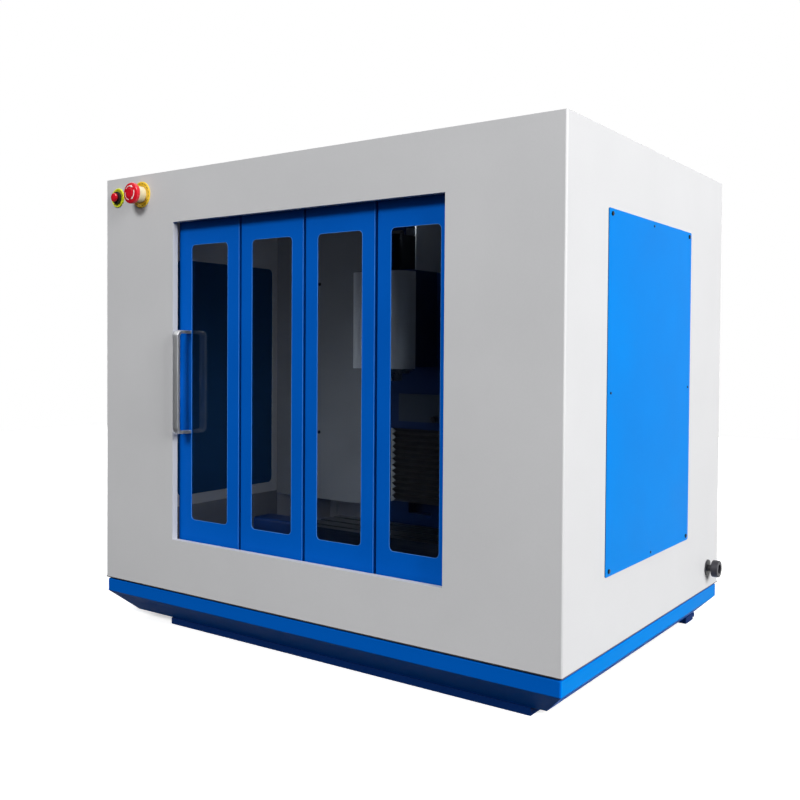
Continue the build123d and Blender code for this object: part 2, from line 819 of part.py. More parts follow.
def make_saddle():
    """Saddle plate with its Y carriages below, X carriages above and both ball nuts."""
    half = saddle_width / 2
    y0, y1 = table_y - saddle_length / 2, table_y + saddle_length / 2
    plate = block(machine_x - half, machine_x + half, y0, y1, saddle_bottom, saddle_top)
    parts["saddle"] = chamfer(plate.edges().filter_by(Axis.Z), base_wall / 2)
    carriages = []
    groove = rail_width / 2 + rail_clearance
    for side in (-1, 1):
        x = machine_x + side * y_rail_half_gap
        for end in (-1, 1):
            y = table_y + end * y_carriage_half_gap
            carriage = block(
                x - carriage_width / 2, x + carriage_width / 2, y - carriage_length / 2,
                y + carriage_length / 2,
                base_casting_top + carriage_lift, saddle_bottom,
            )
            carriage -= block(
                x - groove, x + groove, y - carriage_length, y + carriage_length,
                base_casting_top, base_casting_top + rail_height + rail_clearance,
            )
            carriages.append(carriage)
    for side in (-1, 1):
        y = table_y + side * x_rail_half_gap
        for end in (-1, 1):
            x = machine_x + end * x_carriage_half_gap
            carriage = block(
                x - carriage_length / 2, x + carriage_length / 2, y - carriage_width / 2,
                y + carriage_width / 2,
                saddle_top, table_bottom - carriage_lift,
            )
            carriage -= block(
                x - carriage_length, x + carriage_length, y - groove, y + groove,
                table_bottom - rail_height - rail_clearance, table_bottom,
            )
            carriages.append(carriage)
    parts["saddle_carriages"] = group(carriages)
    x_nut = block(
        machine_x - nut_length / 2, machine_x + nut_length / 2, table_y - nut_half, table_y + nut_half,
        saddle_top, x_screw_z + x_nut_half,
    )
    x_nut -= lengthwise(x_screw_radius + running_clearance, machine_x - nut_length, machine_x + nut_length,
                        table_y, x_screw_z)
    y_nut = block(
        machine_x - nut_half, machine_x + nut_half, table_y - nut_length / 2, table_y + nut_length / 2,
        y_screw_z - nut_half, saddle_bottom,
    )
    y_nut -= inward(y_screw_radius + running_clearance, machine_x, table_y - nut_length, table_y + nut_length,
                    y_screw_z)
    parts["saddle_nuts"] = group([x_nut, y_nut])


def make_table():
    """T-slot table on two rails, with screw supports under its ends and the X motor on its left end."""
    table = block(table_left, table_right, table_front, table_front + table_width, table_bottom, table_top)
    table = fillet(table.edges().filter_by(Axis.Z), edge_break * 2)
    for number in range(slot_count):
        y = table_y + (number - (slot_count - 1) / 2) * slot_pitch
        table -= block(
            table_left - 1, table_right + 1, y - slot_width / 2, y + slot_width / 2,
            table_top - slot_depth, table_top + 1,
        )
        table -= block(
            table_left - 1, table_right + 1, y - slot_head_width / 2, y + slot_head_width / 2,
            table_top - slot_depth, table_top - slot_depth + slot_head_height,
        )
    parts["table"] = table
    middle = (table_left + table_right) / 2
    rails = []
    for side in (-1, 1):
        y = table_y + side * x_rail_half_gap
        rails.append(
            block(
                middle - x_rail_length / 2, middle + x_rail_length / 2, y - rail_width / 2,
                y + rail_width / 2,
                table_bottom - rail_height, table_bottom,
            )
        )
    parts["x_rails"] = group(rails)
    supports = []
    clearance = carriage_stack / 12
    for x0, x1 in ((table_left, table_left + support_length), (table_right - support_length, table_right)):
        support = block(x0, x1, table_y - nut_half, table_y + nut_half, saddle_top + clearance, table_bottom)
        support -= lengthwise(x_screw_radius + running_clearance, x0 - 1, x1 + 1, table_y, x_screw_z)
        supports.append(support)
    bracket_left = table_left - coupling_length - motor_bracket_wall
    bracket = block(
        bracket_left, table_left, table_y - motor_half, table_y + motor_half,
        x_screw_z - motor_half, x_screw_z + motor_half,
    )
    bracket -= block(
        bracket_left + motor_bracket_wall, table_left - motor_bracket_wall,
        table_y - motor_half + motor_bracket_wall, table_y + motor_half - motor_bracket_wall,
        x_screw_z - motor_half - 1, x_screw_z + motor_half - motor_bracket_wall,
    )
    bracket -= lengthwise(coupling_radius + 1, bracket_left - 1, table_left + 1, table_y, x_screw_z)
    can = block(
        bracket_left - x_motor_length, bracket_left - motor_flange, table_y - motor_half + 2,
        table_y + motor_half - 2, x_screw_z - motor_half + 2, x_screw_z + motor_half - 2,
    )
    can = fillet(can.edges().filter_by(Axis.X), 6)
    flange = block(
        bracket_left - motor_flange, bracket_left, table_y - motor_half, table_y + motor_half,
        x_screw_z - motor_half, x_screw_z + motor_half,
    )
    motor = can + flange
    motor -= lengthwise(x_screw_radius + running_clearance, bracket_left - motor_flange * 2, bracket_left + 1,
                        table_y, x_screw_z)
    parts["x_screw_supports"] = group([*supports, bracket])
    parts["x_motor"] = motor


def make_screws():
    """Ball screws with the couplings that join them to their motors; the threads are left plain."""
    x_start = table_left - coupling_length - motor_bracket_wall - motor_flange
    coupling_left = table_left - coupling_length + 2
    x_screw = lengthwise(x_screw_radius, x_start, table_right - 1, table_y, x_screw_z)
    x_screw += lengthwise(
        coupling_radius, coupling_left, table_left - motor_bracket_wall - 2, table_y, x_screw_z
    )
    parts["x_screw"] = x_screw
    y_start, y_end = base_casting_front + 5, base_casting_rear + motor_flange
    parts["y_screw"] = inward(y_screw_radius, machine_x, y_start, y_end, y_screw_z)
    parts["z_screw"] = upright(
        z_screw_radius, machine_x, z_screw_y, z_screw_bottom, column_top + motor_flange
    )


def make_fixed_supports():
    """Bearing blocks of the Y screw in the trough and of the Z screw in the column."""
    supports = []
    trough_floor = base_casting_top - trough_depth
    for y0 in (base_casting_front + 8, base_casting_rear - 8 - support_length):
        block_y = block(
            machine_x - support_half, machine_x + support_half, y0, y0 + support_length,
            trough_floor, y_screw_z + nut_half - 1,
        )
        block_y -= inward(
            y_screw_radius + running_clearance, machine_x, y0 - 1, y0 + support_length + 1, y_screw_z
        )
        supports.append(block_y)
    trough_rear = column_front + column_trough_depth
    for z0 in (z_screw_bottom + 5, column_top - 5 - support_length):
        block_z = block(
            machine_x - support_half, machine_x + support_half, z_screw_y - nut_half, trough_rear,
            z0, z0 + support_length,
        )
        block_z -= upright(
            z_screw_radius + running_clearance, machine_x, z_screw_y, z0 - 1, z0 + support_length + 1
        )
        supports.append(block_z)
    parts["screw_supports"] = group(supports)


def make_column():
    """Hollow cast column with a trough for the Z screw, on the rear of the base."""
    half = column_width / 2
    column = block(
        machine_x - half, machine_x + half, column_front, base_casting_rear, base_casting_top, column_top
    )
    column = chamfer(column.edges().filter_by(Axis.Z), column_wall / 3)
    column -= block(
        machine_x - column_trough_width / 2, machine_x + column_trough_width / 2,
        column_front - 1, column_front + column_trough_depth, base_casting_top + 100, column_top + 1,
    )
    cavity_front = column_front + column_trough_depth + column_wall
    cavity = block(
        machine_x - half + column_wall, machine_x + half - column_wall, cavity_front,
        base_casting_rear - column_wall, base_casting_top - 1, column_top - column_wall,
    )
    cavity = fillet(cavity.edges().filter_by(Axis.Z), column_wall / 2)
    parts["column"] = column - cavity
    guard_x = machine_x + half
    parts["cable_guard"] = block(
        guard_x, guard_x + guard_sheet, guard_front, guard_rear, guard_bottom, hood_top - 2 * hood_sheet
    )


def make_fixed_motors():
    """Y motor behind the base and Z motor on top of the column."""
    y0 = base_casting_rear
    flange = block(
        machine_x - motor_half, machine_x + motor_half, y0, y0 + motor_flange,
        y_screw_z - motor_half, y_screw_z + motor_half,
    )
    can = block(
        machine_x - motor_half + 2, machine_x + motor_half - 2, y0 + motor_flange, y0 + y_motor_length,
        y_screw_z - motor_half + 2, y_screw_z + motor_half - 2,
    )
    can = fillet(can.edges().filter_by(Axis.Y), 6)
    y_motor = flange + can
    y_motor -= inward(y_screw_radius + running_clearance, machine_x, y0 - 1, y0 + 2 * motor_flange, y_screw_z)
    z0 = column_top
    flange = block(
        machine_x - motor_half, machine_x + motor_half, z_screw_y - motor_half, z_screw_y + motor_half,
        z0, z0 + motor_flange,
    )
    can = block(
        machine_x - motor_half + 2, machine_x + motor_half - 2, z_screw_y - motor_half + 2,
        z_screw_y + motor_half - 2, z0 + motor_flange, z0 + motor_flange + z_motor_length,
    )
    can = fillet(can.edges().filter_by(Axis.Z), 6)
    z_motor = flange + can
    z_motor -= upright(
        z_screw_radius + running_clearance, machine_x, z_screw_y, z0 - 1, z0 + 2 * motor_flange
    )
    parts["axis_motors"] = group([y_motor, z_motor])


# Head
def make_head():
    """Cast head with its slide plate in one piece, an apron below it, carriages, cover and spindle."""
    half = plate_width / 2
    plate = block(machine_x - half, machine_x + half, plate_front, plate_rear, plate_bottom, plate_top)
    plate = chamfer(plate.edges().filter_by(Axis.Y), edge_break * 3)
    parts["slide_apron"] = block(
        apron_left, apron_left + apron_width, plate_front - apron_sheet, plate_front,
        apron_bottom, apron_bottom + apron_height,
    )
    groove = rail_width / 2 + rail_clearance
    carriages = []
    for side in (-1, 1):
        x = machine_x + side * z_rail_half_gap
        for z in (plate_bottom + z_carriage_inset, plate_top - z_carriage_inset):
            carriage = block(
                x - carriage_width / 2, x + carriage_width / 2, plate_rear, column_front - carriage_lift,
                z - carriage_length / 2, z + carriage_length / 2,
            )
            carriage -= block(
                x - groove, x + groove, column_front - rail_height - rail_clearance, column_front,
                z - carriage_length, z + carriage_length,
            )
            carriages.append(carriage)
    parts["z_carriages"] = group(carriages)
    nut = block(
        machine_x - nut_half, machine_x + nut_half, plate_rear, z_screw_y + nut_half,
        z_nut_z - nut_length / 2, z_nut_z + nut_length / 2,
    )
    nut -= upright(
        z_screw_radius + running_clearance, machine_x, z_screw_y, z_nut_z - nut_length,
        z_nut_z + nut_length
    )
    parts["z_nut"] = nut
    casting = block(
        machine_x - head_width / 2, machine_x + head_width / 2, head_front, plate_front, head_bottom, head_top
    )
    casting -= upright(cartridge_radius, machine_x, spindle_y, head_bottom - 1, head_top + 1)
    parts["head_casting"] = plate + casting
    make_head_cover()
    make_spindle()


def make_head_cover():
    """Front cover of the head, a shell with large upright corner radii, slipped over the casting."""
    half = head_width / 2 + head_cover_wall
    rear = head_cover_front + head_cover_depth
    outer = block(
        machine_x - half, machine_x + half, head_cover_front, rear, head_cover_bottom, head_cover_top
    )
    outer = fillet(outer.edges().filter_by(Axis.Z).sort_by(Axis.Y)[:2], head_cover_radius)
    inner_half = head_width / 2
    inner = block(
        machine_x - inner_half, machine_x + inner_half, head_cover_front + head_cover_wall, rear + 1,
        head_cover_bottom - 1, head_cover_top - head_cover_wall,
    )
    inner = fillet(inner.edges().filter_by(Axis.Z).sort_by(Axis.Y)[:2], head_cover_radius - head_cover_wall)
    top_relief = block(
        machine_x - inner_half - 1, machine_x + inner_half + 1, head_front, rear + 1,
        head_cover_top - head_cover_wall - 1, head_cover_top + 1,
    )
    parts["head_cover"] = outer - inner - top_relief


def make_spindle():
    """Cartridge with a bottom flange, bearing pairs, rotating spindle, collet nut and motor."""
    bore = spindle_radius + running_clearance
    cartridge = upright(cartridge_radius, machine_x, spindle_y, cartridge_bottom, head_top)
    flange_top = head_bottom
    cartridge += upright(
        cartridge_flange_radius, machine_x, spindle_y, flange_top - cartridge_flange, flange_top
    )
    cartridge -= upright(spindle_radius + 3, machine_x, spindle_y, cartridge_bottom - 1, head_top + 1)
    seats = (cartridge_bottom + 6, head_top - 6 - bearing_length)
    bearings = []
    for z0 in seats:
        cartridge -= upright(bearing_radius, machine_x, spindle_y, z0, z0 + bearing_length)
        ring = upright(bearing_radius, machine_x, spindle_y, z0, z0 + bearing_length)
        bearings.append(ring - upright(bore, machine_x, spindle_y, z0 - 1, z0 + bearing_length + 1))
    parts["spindle_cartridge"] = cartridge
    parts["spindle_bearings"] = group(bearings)
    shaft = upright(spindle_radius, machine_x, spindle_y, spindle_bottom, head_top)
    shaft += upright(spindle_radius / 2, machine_x, spindle_y, head_top, spindle_shaft_top)
    shaft -= upright(
        tool_bore_radius, machine_x, spindle_y, spindle_bottom - 1, spindle_bottom + tool_bore_depth
    )
    parts["spindle_shaft"] = shaft
    nut_top = cartridge_bottom - fit_gap
    nut = upright(collet_nut_radius, machine_x, spindle_y, collet_nut_bottom, nut_top)
    nut = chamfer(nut.edges().filter_by(GeomType.CIRCLE).sort_by(Axis.Z)[:1], edge_break * 2)
    nut -= upright(spindle_radius, machine_x, spindle_y, spindle_bottom, nut_top + 1)
    nut -= upright(tool_bore_radius + 1.5, machine_x, spindle_y, collet_nut_bottom - 1, spindle_bottom + 1)
    parts["collet_nut"] = nut
    half = spindle_motor_half
    flange_end = head_top + spindle_motor_flange
    motor = block(
        machine_x - half, machine_x + half, spindle_y - half, spindle_y + half, head_top, flange_end
    )
    can = block(
        machine_x - half + 3, machine_x + half - 3, spindle_y - half + 3, spindle_y + half - 3,
        flange_end, head_top + spindle_motor_length,
    )
    motor += fillet(can.edges().filter_by(Axis.Z), 10)
    motor -= upright(spindle_radius / 2 + running_clearance, machine_x, spindle_y, head_top - 1,
                     spindle_shaft_top + 1)
    motor -= upright(spindle_radius + 3, machine_x, spindle_y, head_top - 1, head_top + 2)
    parts["spindle_motor"] = motor


def make_bellows(name, z0, z1):
    """Folded way covers in front of both Z rails: a zigzag profile carried across the rail."""
    rear = column_front - rail_height - bellows_rear_gap
    valley = rear - bellows_body
    peak = valley - bellows_fold_depth
    folds = max(2, round((z1 - z0) / bellows_pitch))
    step = (z1 - z0) / folds
    outline = [(rear, z0), (valley, z0)]
    for fold in range(folds):
        outline.append((peak, z0 + (fold + 0.5) * step))
        outline.append((valley, z0 + (fold + 1) * step))
    outline.append((rear, z1))
    covers = []
    for side in (-1, 1):
        x0 = machine_x + side * z_rail_half_gap - bellows_width / 2
        plane = Plane(origin=(at(x0), 0, 0), x_dir=(0, 1, 0), z_dir=(1, 0, 0))
        points = [(across(y), z) for y, z in outline]
        covers.append(extrude(plane * Polygon(*points, align=None), bellows_width, dir=(1, 0, 0)))
    parts[name] = group(covers)


# Electrics
def make_electrics():
    """Mounting plate on the inside of the rear panel, with the axis drives and a power supply."""
    plate_y = rear_panel_front - electrics_sheet
    top = electrics_bottom + electrics_height
    parts["electrics_plate"] = block(
        electrics_left, electrics_left + electrics_width, plate_y, rear_panel_front, electrics_bottom, top
    )
    drives = []
    for number in range(drive_count):
        x = electrics_left + 40 + number * drive_pitch
        z = electrics_bottom + 150
        drive = block(x, x + drive_width, plate_y - drive_depth, plate_y, z, z + drive_height)
        drives.append(fillet(drive.edges().filter_by(Axis.Z), edge_break * 2))
    parts["servo_drives"] = group(drives)
    x = electrics_left + electrics_width - 40 - supply_width
    z = electrics_bottom + 100
    supply = block(x, x + supply_width, plate_y - supply_depth, plate_y, z, z + supply_height)
    parts["power_supply"] = fillet(supply.edges().filter_by(Axis.Z), edge_break * 2)


make_base_tray()
make_foot_rails()
make_enclosure_hood()
make_rear_panel()
make_side_covers()
make_cover_screws()
make_inner_walls()
for leaf_number in (1, 2, 3, 4):
    make_leaf(leaf_number)
make_door_pins()
make_track("top_track", lug_top, 1)
make_track("bottom_track", lug_bottom, -1)
make_handle()
make_controls()
make_cable_gland()
make_machine_base()
make_fixed_rails()
make_saddle()
make_table()
make_screws()
make_fixed_supports()
make_column()
make_fixed_motors()
make_head()
make_bellows("lower_bellows", lower_bellows_bottom, plate_bottom)
make_bellows("upper_bellows", plate_top, z_rail_top)
make_electrics()

os.makedirs("parts", exist_ok=True)
for name, shape in parts.items():
    export_step(shape, f"parts/{name}.step")
    print(name, round(shape.volume / 1000, 1), "cm3")
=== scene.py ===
import math

import bmesh
import bpy
import numpy as np
from mathutils import Matrix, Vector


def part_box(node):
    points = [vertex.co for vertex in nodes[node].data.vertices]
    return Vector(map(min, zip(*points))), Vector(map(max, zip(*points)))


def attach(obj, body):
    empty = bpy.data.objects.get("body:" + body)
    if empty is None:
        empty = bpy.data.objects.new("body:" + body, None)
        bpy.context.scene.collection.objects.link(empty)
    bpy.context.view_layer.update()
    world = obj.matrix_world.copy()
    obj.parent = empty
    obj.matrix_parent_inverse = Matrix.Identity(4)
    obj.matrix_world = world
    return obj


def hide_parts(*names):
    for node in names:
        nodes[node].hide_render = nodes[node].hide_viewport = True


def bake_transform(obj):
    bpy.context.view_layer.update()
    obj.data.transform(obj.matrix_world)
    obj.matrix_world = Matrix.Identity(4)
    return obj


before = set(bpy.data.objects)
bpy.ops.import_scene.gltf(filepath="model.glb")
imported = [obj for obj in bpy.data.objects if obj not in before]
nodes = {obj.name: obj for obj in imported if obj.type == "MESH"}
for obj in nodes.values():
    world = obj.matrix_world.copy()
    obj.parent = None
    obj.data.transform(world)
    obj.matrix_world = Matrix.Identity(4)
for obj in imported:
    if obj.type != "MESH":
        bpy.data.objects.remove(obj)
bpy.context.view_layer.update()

# Enclosed bench CNC milling machine.
# The frame is in metres. Measures below are in millimetres: x from the left side of the hood,
# y from its front face and z from the floor, as on the drawing of the machine.

frameOrigin = np.array([500.0, 363.75, 0.0])  # where the frame's zero lies on the drawing
print("frame loaded:", len(nodes), "parts")


def place(x, y, z):  # millimetres on the drawing to metres in the frame
    points = np.stack(np.broadcast_arrays(x, y, z), axis=-1)
    return (points - frameOrigin) / 1000.0


def boxOf(node):  # lowest and highest corners of a node in millimetres on the drawing
    low, high = np.array(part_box(node)) * 1000.0 + frameOrigin
    return low, high


def linear(hexColour, alpha=1.0):  # sRGB hex to Blender's linear colour
    parts = np.array([int(hexColour[i:i + 2], 16) for i in (0, 2, 4)]) / 255.0
    low, high = parts / 12.92, ((parts + 0.055) / 1.055) ** 2.4
    return (*np.where(parts <= 0.04045, low, high).tolist(), alpha)


# Camera: solved from the straight edges of the photograph
camera = {
    "location": (1.0695, -1.55175, 0.5357),
    "right": (0.8143, 0.5803, 0.0068),
    "up": (-0.0179, 0.0135, 0.9997),
    "back": (0.5801, -0.8143, 0.0214),
    "lens": 42.34,
    "sensor": 36.0,
    "shift": (-0.0021, -0.0361),
    "clip": (0.05, 60.0),
}
lens = bpy.data.cameras.new("studioCamera")
lens.lens = camera["lens"]
lens.sensor_width = camera["sensor"]
lens.shift_x, lens.shift_y = camera["shift"]
lens.clip_start, lens.clip_end = camera["clip"]
viewer = bpy.data.objects.new("studioCamera", lens)
bpy.context.scene.collection.objects.link(viewer)
columns = np.array([camera["right"], camera["up"], camera["back"]]).T
axes, _ = np.linalg.qr(columns)
axes *= np.sign(np.sum(axes * columns, axis=0))
turn = Matrix(axes.tolist()).to_4x4()
viewer.matrix_world = Matrix.Translation(camera["location"]) @ turn
bpy.context.scene.camera = viewer
bpy.context.scene.view_settings.view_transform = "Standard"
print("camera placed")


# Node helpers: addNode makes one node, sets its properties and inputs, and links what is given as a socket
def addNode(tree, kind, settings=None, links=None):
    node = tree.nodes.new(kind)
    for name, value in (settings or {}).items():
        if isinstance(name, int) or name in node.inputs:
            node.inputs[name].default_value = value
        else:
            setattr(node, name, value)
    for name, source in (links or {}).items():
        tree.links.new(source, node.inputs[name])
    return node


def compute(tree, operation, first, second):  # one math node whose two sides are numbers or sockets
    node = addNode(tree, "ShaderNodeMath", {"operation": operation})
    for number, side in enumerate((first, second)):
        if isinstance(side, float):
            node.inputs[number].default_value = side
        else:
            tree.links.new(side, node.inputs[number])
    return node.outputs[0]


def startMaterial(name):  # an empty node tree with its output
    material = bpy.data.materials.new(name)
    material.use_nodes = True
    tree = material.node_tree
    tree.nodes.clear()
    output = addNode(tree, "ShaderNodeOutputMaterial")
    space = addNode(tree, "ShaderNodeTexCoord")
    return material, tree, output, space.outputs["Object"]


def setRamp(node, stops):  # colour stops of a ramp: (position, linear colour)
    ramp = node.color_ramp
    while len(ramp.elements) > 1:
        ramp.elements.remove(ramp.elements[-1])
    ramp.elements[0].position, ramp.elements[0].color = stops[0]
    for position, colour in stops[1:]:
        ramp.elements.new(position).color = colour
    return node


def gridQuads(rows, cols, closed=False):
    # Faces of a grid of points; a closed grid joins its last column to its first.
    index = np.arange(rows * cols).reshape(rows, cols)
    if closed:
        index = np.concatenate([index, index[:, :1]], axis=1)
    return np.stack([index[:-1, :-1], index[:-1, 1:], index[1:, 1:], index[1:, :-1]], axis=-1).reshape(-1, 4)


def meshObject(name, points, faces, material):  # a mesh of one material, in the scene
    mesh = bpy.data.meshes.new(name)
    mesh.from_pydata(points, [], faces)
    mesh.materials.append(material)
    thing = bpy.data.objects.new(name, mesh)
    bpy.context.scene.collection.objects.link(thing)
    return thing


# Stage: pale floor, soft lights from the right, the front, above and behind, work lights inside, white world
stage = {
    "floorSize": 9.0,
    "floorSeen": "F4F4F2",
    "floorGlow": 0.55,
    "floorBounce": "18181A",
    "worldSeen": "FFFFFF",
    "worldTint": "F6F9FF",
    "worldFill": 0.20,
    "lights": (
        {"name": "rightSoftLight", "at": (6.6, -0.9, 3.0), "to": (0.4, 0.0, 0.45), "size": (4.0, 3.4),
         "power": 600.0, "gloss": False},
        {"name": "frontSoftLight", "at": (1.0, -8.5, 7.0), "to": (0.0, -0.3, 0.3), "size": (3.4, 2.6),
         "power": 705.0, "gloss": True},
        {"name": "topSoftLight", "at": (0.0, 0.4, 4.2), "to": (0.0, 0.0, 0.8), "size": (3.0, 3.0),
         "power": 14.0, "gloss": True},
        {"name": "workLight", "at": (-0.34, -0.30, 0.34), "to": (0.05, 0.05, 0.42), "size": (0.10, 0.30),
         "power": 0.50, "gloss": False},
        {"name": "upperWorkLight", "at": (0.06, -0.12, 0.80), "to": (0.20, 0.10, 0.76), "size": (0.05, 0.05),
         "power": 0.10, "gloss": False},
        {"name": "lowWorkLight", "at": (-0.22, -0.27, 0.33), "to": (-0.48, -0.08, 0.19), "size": (0.06, 0.10),
         "power": 0.16, "gloss": False},
        {"name": "rearSoftLight", "at": (-3.4, 3.4, 2.4), "to": (0.0, 0.2, 0.45), "size": (2.6, 2.2),
         "power": 110.0, "gloss": True},
    ),
}


def directSight(tree):
    # 1 for a ray of the camera, of gloss or through glass that has met no matt face, else 0. A ray that has
    # glanced off something inside the machine before it leaves through a pane counts as matt too.
    path = addNode(tree, "ShaderNodeLightPath").outputs
    calm = compute(tree, "LESS_THAN", path["Glossy Depth"], 0.5)
    through = compute(tree, "MULTIPLY", path["Is Transmission Ray"], calm)
    sight = compute(tree, "MAXIMUM", path["Is Camera Ray"], path["Is Glossy Ray"])
    sight = compute(tree, "MAXIMUM", sight, through)
    clear = compute(tree, "LESS_THAN", path["Diffuse Depth"], 0.5)
    return compute(tree, "MULTIPLY", sight, clear)


def layFloor(settings):  # a flat square whose camera colour is pale, with a dimmer bounce on the object
    half = settings["floorSize"] / 2
    corners = [(-half, -half, 0), (half, -half, 0), (half, half, 0), (-half, half, 0)]
    material, tree, output, _ = startMaterial("studioPaper")
    path = addNode(tree, "ShaderNodeLightPath").outputs
    bounce = addNode(tree, "ShaderNodeBsdfDiffuse", {"Color": linear(settings["floorBounce"])})
    paper = addNode(tree, "ShaderNodeBsdfDiffuse", {"Color": linear(settings["floorSeen"])})
    lift = compute(tree, "MULTIPLY", path["Is Camera Ray"], settings["floorGlow"])
    glow = addNode(tree, "ShaderNodeEmission", {"Color": linear("FFFFFF")}, {"Strength": lift})
    bright = addNode(tree, "ShaderNodeAddShader", None, {0: paper.outputs[0], 1: glow.outputs[0]})
    mixed = addNode(tree, "ShaderNodeMixShader", None,
                    {0: directSight(tree), 1: bounce.outputs[0], 2: bright.outputs[0]})
    tree.links.new(mixed.outputs[0], output.inputs["Surface"])
    meshObject("paleFloor", corners, [(0, 1, 2, 3)], material)


darkCloth = {
    "arc": (-100.0, 55.0),
    "steps": 33,
    "outline": ((0.66, 0.004), (5.0, 0.01), (5.4, 0.4), (5.4, 3.4)),
    "colour": "0B0F17",
}


def hangDarkCloth(settings):
    # A cloth that only gloss and glass see, so that the panes show their depth. Its outline runs along the
    # floor and then up, (distance, height), and is carried round an arc in front of the door.
    angle = np.radians(np.linspace(*settings["arc"], settings["steps"]))[:, None]
    distance, height = np.array(settings["outline"]).T
    x = np.sin(angle) * distance[None, :]
    y = -np.cos(angle) * distance[None, :]
    points = np.stack([x, y, np.broadcast_to(height, x.shape)], axis=-1)
    material, tree, output, _ = startMaterial("darkStudioCloth")
    weave = addNode(tree, "ShaderNodeBsdfDiffuse", {"Color": linear(settings["colour"])})
    tree.links.new(weave.outputs[0], output.inputs["Surface"])
    quads = gridQuads(*points.shape[:2])
    cloth = meshObject("darkCloth", points.reshape(-1, 3).tolist(), quads.tolist(), material)
    cloth.visible_camera = cloth.visible_diffuse = cloth.visible_shadow = False


def lightWorld(settings):  # white to the camera, to gloss and through glass, and a soft fill otherwise
    world = bpy.data.worlds.new("studioWorld")
    bpy.context.scene.world = world
    world.use_nodes = True
    tree = world.node_tree
    tree.nodes.clear()
    output = addNode(tree, "ShaderNodeOutputWorld")
    white = addNode(tree, "ShaderNodeBackground", {"Color": linear(settings["worldSeen"]), "Strength": 1.0})
    fill = addNode(tree, "ShaderNodeBackground",
                   {"Color": linear(settings["worldTint"]), "Strength": settings["worldFill"]})
    mixed = addNode(tree, "ShaderNodeMixShader", None,
                    {0: directSight(tree), 1: fill.outputs[0], 2: white.outputs[0]})
    tree.links.new(mixed.outputs[0], output.inputs["Surface"])


def hangLight(settings):  # a soft box aimed at a point
    lamp = bpy.data.lights.new(settings["name"], "AREA")
    lamp.shape = "RECTANGLE"
    lamp.size, lamp.size_y = settings["size"]
    lamp.energy = settings["power"]
    box = bpy.data.objects.new(settings["name"], lamp)
    box.visible_glossy = settings["gloss"]
    box.visible_transmission = box.visible_camera = False
    bpy.context.scene.collection.objects.link(box)
    away = np.array(settings["at"]) - np.array(settings["to"])
    away /= np.linalg.norm(away)
    side = np.cross((0.0, 0.0, 1.0), away)
    side /= np.linalg.norm(side)
    rows = np.stack([side, np.cross(away, side), away], axis=1)
    box.matrix_world = Matrix.Translation(settings["at"]) @ Matrix(rows.tolist()).to_4x4()


layFloor(stage)
hangDarkCloth(darkCloth)
lightWorld(stage)
for softBox in stage["lights"]:
    hangLight(softBox)
print("stage lit")


# Materials: each is the real stuff and its finish, with patterns scaled from real millimetres.
# A noise texture's scale is the number of its grains in one metre of object space.
def grain(tree, space, size, detail=2.0, stretch=None):  # noise whose grains are size millimetres wide
    source = space
    if stretch:
        source = addNode(tree, "ShaderNodeMapping", {"Scale": stretch}, {"Vector": space}).outputs[0]
    settings = {"Scale": 1000.0 / size, "Detail": detail}
    return addNode(tree, "ShaderNodeTexNoise", settings, {"Vector": source}).outputs["Fac"]


def twoTone(tree, source, settings, start=0.3, end=0.7):  # from the shade to the colour as the noise rises
    ramp = addNode(tree, "ShaderNodeValToRGB", None, {"Fac": source})
    return setRamp(ramp, [(start, linear(settings["shade"])), (end, linear(settings["colour"]))]).outputs[0]


def unevenGloss(tree, source, roughness, below, above):  # a roughness that follows the noise
    return addNode(tree, "ShaderNodeMapRange", {"To Min": roughness - below, "To Max": roughness + above},
                   {"Value": source}).outputs[0]


def relief(tree, height, strength, millimetres):  # a fine bump of the given depth
    return addNode(tree, "ShaderNodeBump", {"Strength": strength, "Distance": millimetres / 1000.0},
                   {"Height": height}).outputs[0]


def coverWith(tree, output, values, links):  # the surface's one shader
    shader = addNode(tree, "ShaderNodeBsdfPrincipled", values, links)
    tree.links.new(shader.outputs[0], output.inputs["Surface"])


# Powder coat: baked polyester, an even coat with a fine orange-peel skin and soft broad mottling
powderCoats = {
    "greyPowderCoat": {"colour": "D2D2D3", "shade": "CCCCCD", "roughness": 0.55, "peel": 1.6, "depth": 0.05,
                       "specular": 0.2},
    "bluePowderCoat": {"colour": "005FC6", "shade": "0059BC", "roughness": 0.42, "peel": 1.4, "depth": 0.04,
                       "specular": 0.04},
    # The pan is one blue sheet: its side bands are painted a lighter blue than its front, painted light for
    # the side light on them.
    "trayBluePowderCoatLitSides": {"colour": "0082DC", "shade": "007AD2", "roughness": 0.42, "peel": 1.4,
                           "depth": 0.04, "specular": 0.015, "inner": "005DC0", "litSidesFrom": 0.4976},
    # The foot rails' dark navy is painted shade: they sit low in the shadow under the pan.
    "navyPowderCoatPaintedShade": {"colour": "0A2C66", "shade": "08265A", "roughness": 0.45, "peel": 1.4, "depth": 0.04,
                       "specular": 0.03},
    # The side covers' outer faces take a lighter blue than the doors' paint, painted light for the side
    # light; their backs take a darker, greyer blue.
    "coverBluePowderCoatLitFace": {"colour": "0082DC", "shade": "007AD2", "roughness": 0.40, "peel": 1.4,
                            "depth": 0.04, "specular": 0.02, "inner": "24507E", "litSidesFrom": 0.5012},
    "linerPowderCoat": {"colour": "96989C", "shade": "84868A", "roughness": 0.42, "peel": 1.4, "depth": 0.04,
                        "specular": 0.2},
    # The castings' dark navy is painted shade: the doors' blue darkened for the shade inside the machine.
    "blueCastingEnamelPaintedShade": {"colour": "0B2654", "shade": "092048", "roughness": 0.34, "peel": 5.0,
                          "depth": 0.35, "specular": 0.3},
    "coverPowderCoat": {"colour": "D0D3D8", "shade": "C6C9CF", "roughness": 0.34, "peel": 1.4, "depth": 0.03,
                        "specular": 0.3},
    "apronPaint": {"colour": "39424F", "shade": "323A46", "roughness": 0.40, "peel": 1.4, "depth": 0.03,
                   "specular": 0.2},
}
powderMottle = {"broad": 160.0, "speck": 2.2, "speckShare": 0.35, "start": 0.35, "end": 0.95}


